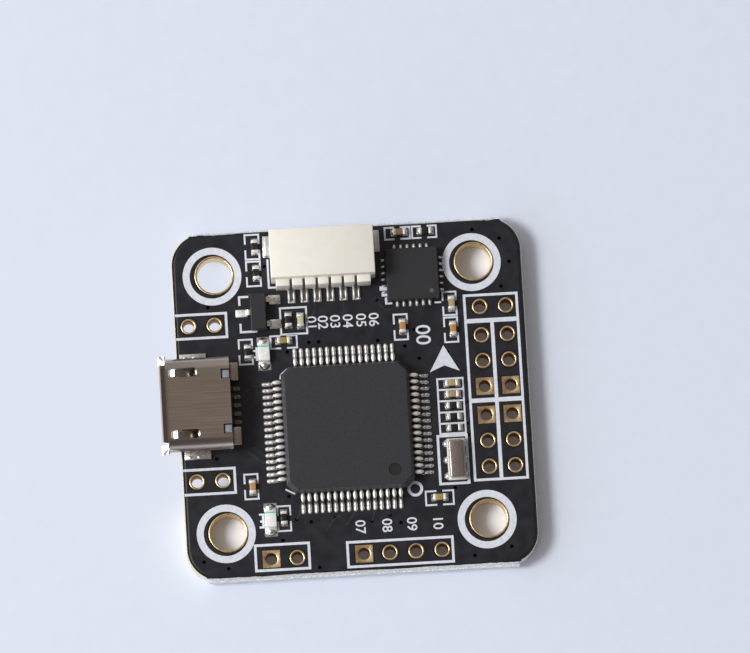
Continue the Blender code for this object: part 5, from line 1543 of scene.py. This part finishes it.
REGULATOR_LEAD_THICKNESS = 0.13
REGULATOR_LEAD_BEND = 0.1
for lead in (1, 2, 3):
    low, high = extent("regulator_lead_" + str(lead))
    outward = -1 if lead == 1 else 1
    reach = high.x - low.x
    root = high.x if outward < 0 else low.x
    shape = bmesh.new()
    path = soften([(-0.05, high.z), (0.2, high.z), (reach - 0.3, TOP + 0.19), (reach, TOP + 0.17)],
                  REGULATOR_LEAD_BEND)
    half_turn = Matrix.Rotation(0 if outward > 0 else math.pi, 4, "Z")
    place = Matrix.Translation((root, (low.y + high.y) / 2, 0)) @ half_turn
    strip(shape, path, high.y - low.y, REGULATOR_LEAD_THICKNESS, 0, place)
    half_foot = 0.3 if outward < 0 else 0.37
    block(shape, (reach - 0.5, -half_foot, TOP), (reach + 0.45, half_foot, TOP + 0.24), 1,
          rounding=0.07, steps=3, place=place)
    foot_finish = dull_tin if outward < 0 else solder
    finish_piece("regulator_foot_" + str(lead), shape, (tin_plate, foot_finish),
                 ["regulator_lead_" + str(lead)])

# %% [markdown]
# ## Clock resonator
# A thin white ceramic tray with a drawn metal lid. The lid has a flat rim, so light catches a pale
# line all round it. Solder shows in three lumps along each side.

# %% Clock resonator
base_low, base_high = extent("resonator_base")
lid_low, lid_high = extent("resonator_lid")
RIM_PAST = 0.06
RIM_HEIGHT = 0.07
LID_CORNER = 0.2
LID_ROUND = 0.13
LUMP_SPACING = 1.25

tray = bmesh.new()
block(tray, base_low, base_high, 0, rounding=0.03)
for y in (-LUMP_SPACING, 0.0, LUMP_SPACING):
    middle_y = (base_low.y + base_high.y) / 2 + y
    mound(tray, (base_low.x - 0.05, middle_y, TOP + 0.01), 0.28, 0.32, 0.34, 1)
    mound(tray, (base_high.x + 0.02, middle_y, TOP + 0.01), 0.2, 0.3, 0.26, 1)
finish_piece("resonator_tray", tray, (white_ceramic, solder), ["resonator_base"])

lid = bmesh.new()
rim_corners = rectangle(lid_low.x - RIM_PAST, lid_low.y - RIM_PAST,
                        lid_high.x + RIM_PAST, lid_high.y + RIM_PAST)
plate(lid, [soften(rim_corners, LID_CORNER, closed=True)], lid_low.z - 0.02, lid_low.z + RIM_HEIGHT, 1)
cap = bmesh.new()
cap_corners = rectangle(lid_low.x, lid_low.y, lid_high.x, lid_high.y)
plate(cap, [soften(cap_corners, LID_CORNER, steps=6, closed=True)], lid_low.z, lid_high.z)
top_edges = [e for e in cap.edges
             if min(v.co.z for v in e.verts) > lid_high.z - 0.01 and e.calc_face_angle(0) > 0.5]
round_edges(cap, top_edges, LID_ROUND, 4)
settle(lid, cap, 0)
finish_piece("resonator_cap", lid, (lid_metal, dull_tin), ["resonator_lid"], sharp=35)

# %% [markdown]
# ## Status lamps
# A lamp is a thin board with a solder cap on each end and a block of cloudy resin over its chip. A
# green line printed across it tells which end is which.

# %% Status lamps
LAMP_PLAY = 0.02
LAMP_CAP_HALF = 0.45
LAMP_CAP_LENGTH = 0.28
LAMP_PAD_HALF = 0.5
GREEN_LINE = (0.2, 0.08)
GREEN_PROUD = 0.012

for lamp in (1, 2):
    low, high = extent("led_%d_base" % lamp)
    lens_low, lens_high = extent("led_%d_lens" % lamp)
    middle_x = (low.x + high.x) / 2
    middle_y = (low.y + high.y) / 2
    base = bmesh.new()
    block(base, (low.x + LAMP_PLAY, low.y + LAMP_PLAY, TOP + LAMP_PLAY),
          (high.x - LAMP_PLAY, high.y - LAMP_PLAY, high.z - 0.01), 0, rounding=0.02)
    half_length = (high.y - low.y) / 2
    for end in (1, -1):
        place = Matrix.Translation((middle_x, middle_y, TOP)) @ Matrix.Rotation(end * math.pi / 2, 4, "Z")
        block(base, (half_length - LAMP_CAP_LENGTH, -LAMP_CAP_HALF, 0.03),
              (half_length, LAMP_CAP_HALF, high.z - TOP + 0.02), 1, rounding=0.04, place=place)
        mound(base, (half_length + 0.02, 0, 0.01), 0.38, 0.46, 0.34, 2, place)
        block(base, (half_length - 0.2, -LAMP_PAD_HALF, 0),
              (half_length + 0.42, LAMP_PAD_HALF, PAD_SOLDER), 2, rounding=PAD_ROUND, steps=1,
              place=place)
    finish_piece("lamp_%d_board" % lamp, base, (white_ceramic, dull_tin, solder),
                 ["led_%d_base" % lamp])
    lens = bmesh.new()
    block(lens, (lens_low.x, lens_low.y, lens_low.z - 0.02), lens_high, 0, rounding=0.07, steps=3)
    block(lens, (lens_low.x - 0.01, lens_high.y - GREEN_LINE[0], lens_low.z),
          (lens_high.x + 0.01, lens_high.y - GREEN_LINE[1], lens_high.z + GREEN_PROUD), 1, rounding=0.03)
    finish_piece("lamp_%d_lens" % lamp, lens, (lamp_resin, lamp_green), ["led_%d_lens" % lamp])

# %% [markdown]
# ## Floor
# The board lies on a pale, slightly blue sheet of paper that takes light and shadow. A small share of
# the sheet's own paleness is given as glow to what is seen of it directly, in a mirror or through
# glass. Under the left edge that share is nearly the whole, in a round patch with a soft border: a
# pool of painted light that hides the shadow there, so the holes there show bright paper. The patch
# has the colour of the lit paper round it, so it doesn't show elsewhere.

# %% Floor
FLOOR_HALF = 900.0
FLOOR_DROP = 0.02
FLOOR_GLOW = 0.05
LIT_GLOW = 0.95
LIT_PLACE = (-16.0 * MM, 3.0 * MM, 0.0)
LIT_REACH = (9.5 * MM, 13.0 * MM)

# Uncoated paper: matt, pale and faintly blue, with almost no highlight.
floor_finish = start_finish("pale_backing_paper", {"IOR": 1.45, "Specular IOR Level": 0.2})
grain(floor_finish, 1.5, "#e1e8f7", "#e3eaf9", (0.75, 0.85))
tree = floor_finish.node_tree
rays = add_node(tree, "ShaderNodeLightPath")
seen = add_node(tree, "ShaderNodeMath", {0: rays.outputs["Is Camera Ray"], 1: rays.outputs["Is Glossy Ray"]},
                {"operation": "MAXIMUM"})
seen = add_node(tree, "ShaderNodeMath", {0: seen.outputs[0], 1: rays.outputs["Is Transmission Ray"]},
                {"operation": "MAXIMUM"})
spot = add_node(tree, "ShaderNodeTexCoord")
away = add_node(tree, "ShaderNodeVectorMath", {0: spot.outputs["Object"], 1: LIT_PLACE},
                {"operation": "DISTANCE"})
# A round patch of painted light under the left edge: the floor glows there and hides the shadow.
patch = add_node(tree, "ShaderNodeMapRange", {
    "Value": away.outputs["Value"], "From Min": LIT_REACH[0], "From Max": LIT_REACH[1],
    "To Min": LIT_GLOW, "To Max": FLOOR_GLOW}, {"interpolation_type": "SMOOTHSTEP"})
share = add_node(tree, "ShaderNodeMath", {0: seen.outputs[0], 1: patch.outputs["Result"]},
                 {"operation": "MULTIPLY"})
glow = add_node(tree, "ShaderNodeEmission", {"Color": linear("#e0e5f3")})
mixed = add_node(tree, "ShaderNodeMixShader", {
    0: share.outputs[0], 1: tree.nodes["Principled BSDF"].outputs[0], 2: glow.outputs[0]})
connect(tree, tree.nodes["Material Output"], {"Surface": mixed.outputs[0]})
floor_mesh = bmesh.new()
bmesh.ops.create_grid(floor_mesh, x_segments=1, y_segments=1, size=FLOOR_HALF * MM)
floor_data = bpy.data.meshes.new("floor")
floor_mesh.to_mesh(floor_data)
floor_mesh.free()
floor_data.materials.append(floor_finish)
floor = bpy.data.objects.new("floor", floor_data)
floor.location.z = (board_low.z - FLOOR_DROP) * MM
bpy.context.scene.collection.objects.link(floor)
print("floor:", round(2 * FLOOR_HALF), "mm wide")

# %% [markdown]
# ## Light
# Daylight comes from the left, so the surroundings are a soft gradient: bright at the left, dim at the
# right, with a warm dim ceiling above, a dark patch high in front and half the light from the rear.
# Metal looks like what it mirrors, so this gradient is what makes the leads on the left bright, those
# on the right dull, and the shell's flat top brown. One soft lamp gives the shadows their direction.

# %% Surroundings
SKY = ((0.0, (1.0, 1.0, 1.0, 1)), (0.4, (0.72, 0.725, 0.75, 1)), (0.6, (0.42, 0.42, 0.45, 1)),
       (0.85, (0.07, 0.058, 0.05, 1)))
CEILING = ((0.0, (1.0, 1.0, 1.0, 1)), (1.0, (1.0, 0.84, 0.69, 1)))
DARK_FRONT = (0.0, -0.74, 0.67)

world = bpy.data.worlds.new("daylight_from_the_left")
world.use_nodes = True
bpy.context.scene.world = world
tree = world.node_tree
direction = add_node(tree, "ShaderNodeTexCoord")
parts = add_node(tree, "ShaderNodeSeparateXYZ", {"Vector": direction.outputs["Generated"]})
across = add_node(tree, "ShaderNodeMapRange", {
    "Value": parts.outputs["X"], "From Min": -1.0, "From Max": 1.0})
sky = add_node(tree, "ShaderNodeValToRGB", {"Fac": across.outputs["Result"]}, stops=SKY)
overhead = add_node(tree, "ShaderNodeMapRange", {
    "Value": parts.outputs["Z"], "From Min": 0.72, "From Max": 0.97})
ceiling = add_node(tree, "ShaderNodeValToRGB", {"Fac": overhead.outputs["Result"]}, stops=CEILING)
tinted = add_node(tree, "ShaderNodeVectorMath", {0: sky.outputs["Color"], 1: ceiling.outputs["Color"]},
                  {"operation": "MULTIPLY"})
level = add_node(tree, "ShaderNodeMapRange", {
    "Value": overhead.outputs["Result"], "To Min": 1.6, "To Max": 0.4})
towards_front = add_node(tree, "ShaderNodeVectorMath", {0: direction.outputs["Generated"], 1: DARK_FRONT},
                         {"operation": "DOT_PRODUCT"})
front = add_node(tree, "ShaderNodeMapRange", {
    "Value": towards_front.outputs["Value"], "From Min": 0.8, "From Max": 0.94,
    "To Min": 1.0, "To Max": 0.15})
behind = add_node(tree, "ShaderNodeMapRange", {
    "Value": parts.outputs["Y"], "From Min": 0.25, "From Max": 0.75, "To Min": 1.0, "To Max": 0.5})
strength = level
for dimming in (front, behind):
    strength = add_node(tree, "ShaderNodeMath", {0: strength.outputs[0], 1: dimming.outputs["Result"]},
                        {"operation": "MULTIPLY"})
connect(tree, tree.nodes["Background"], {
    "Color": tinted.outputs["Vector"], "Strength": strength.outputs[0]})
print("surroundings:", world.name)

# %% [markdown]
# The lamp is a round area light, like a window some way off to the left. Its width softens the edges
# of the shadows, and it is turned to face the middle of the board.

# %% Lamp
LAMP_WIDTH = 170.0
LAMP_POWER = 1.6
LAMP_PLACE = Vector((-335, -10, 400))

lamp_data = bpy.data.lights.new("window", "AREA")
lamp_data.shape = "DISK"
lamp_data.size = LAMP_WIDTH * MM
lamp_data.energy = LAMP_POWER
window = bpy.data.objects.new("window", lamp_data)
window.location = LAMP_PLACE * MM
window.rotation_euler = (-window.location).to_track_quat("-Z", "Y").to_euler()
bpy.context.scene.collection.objects.link(window)
print("pieces:", len(made_pieces))
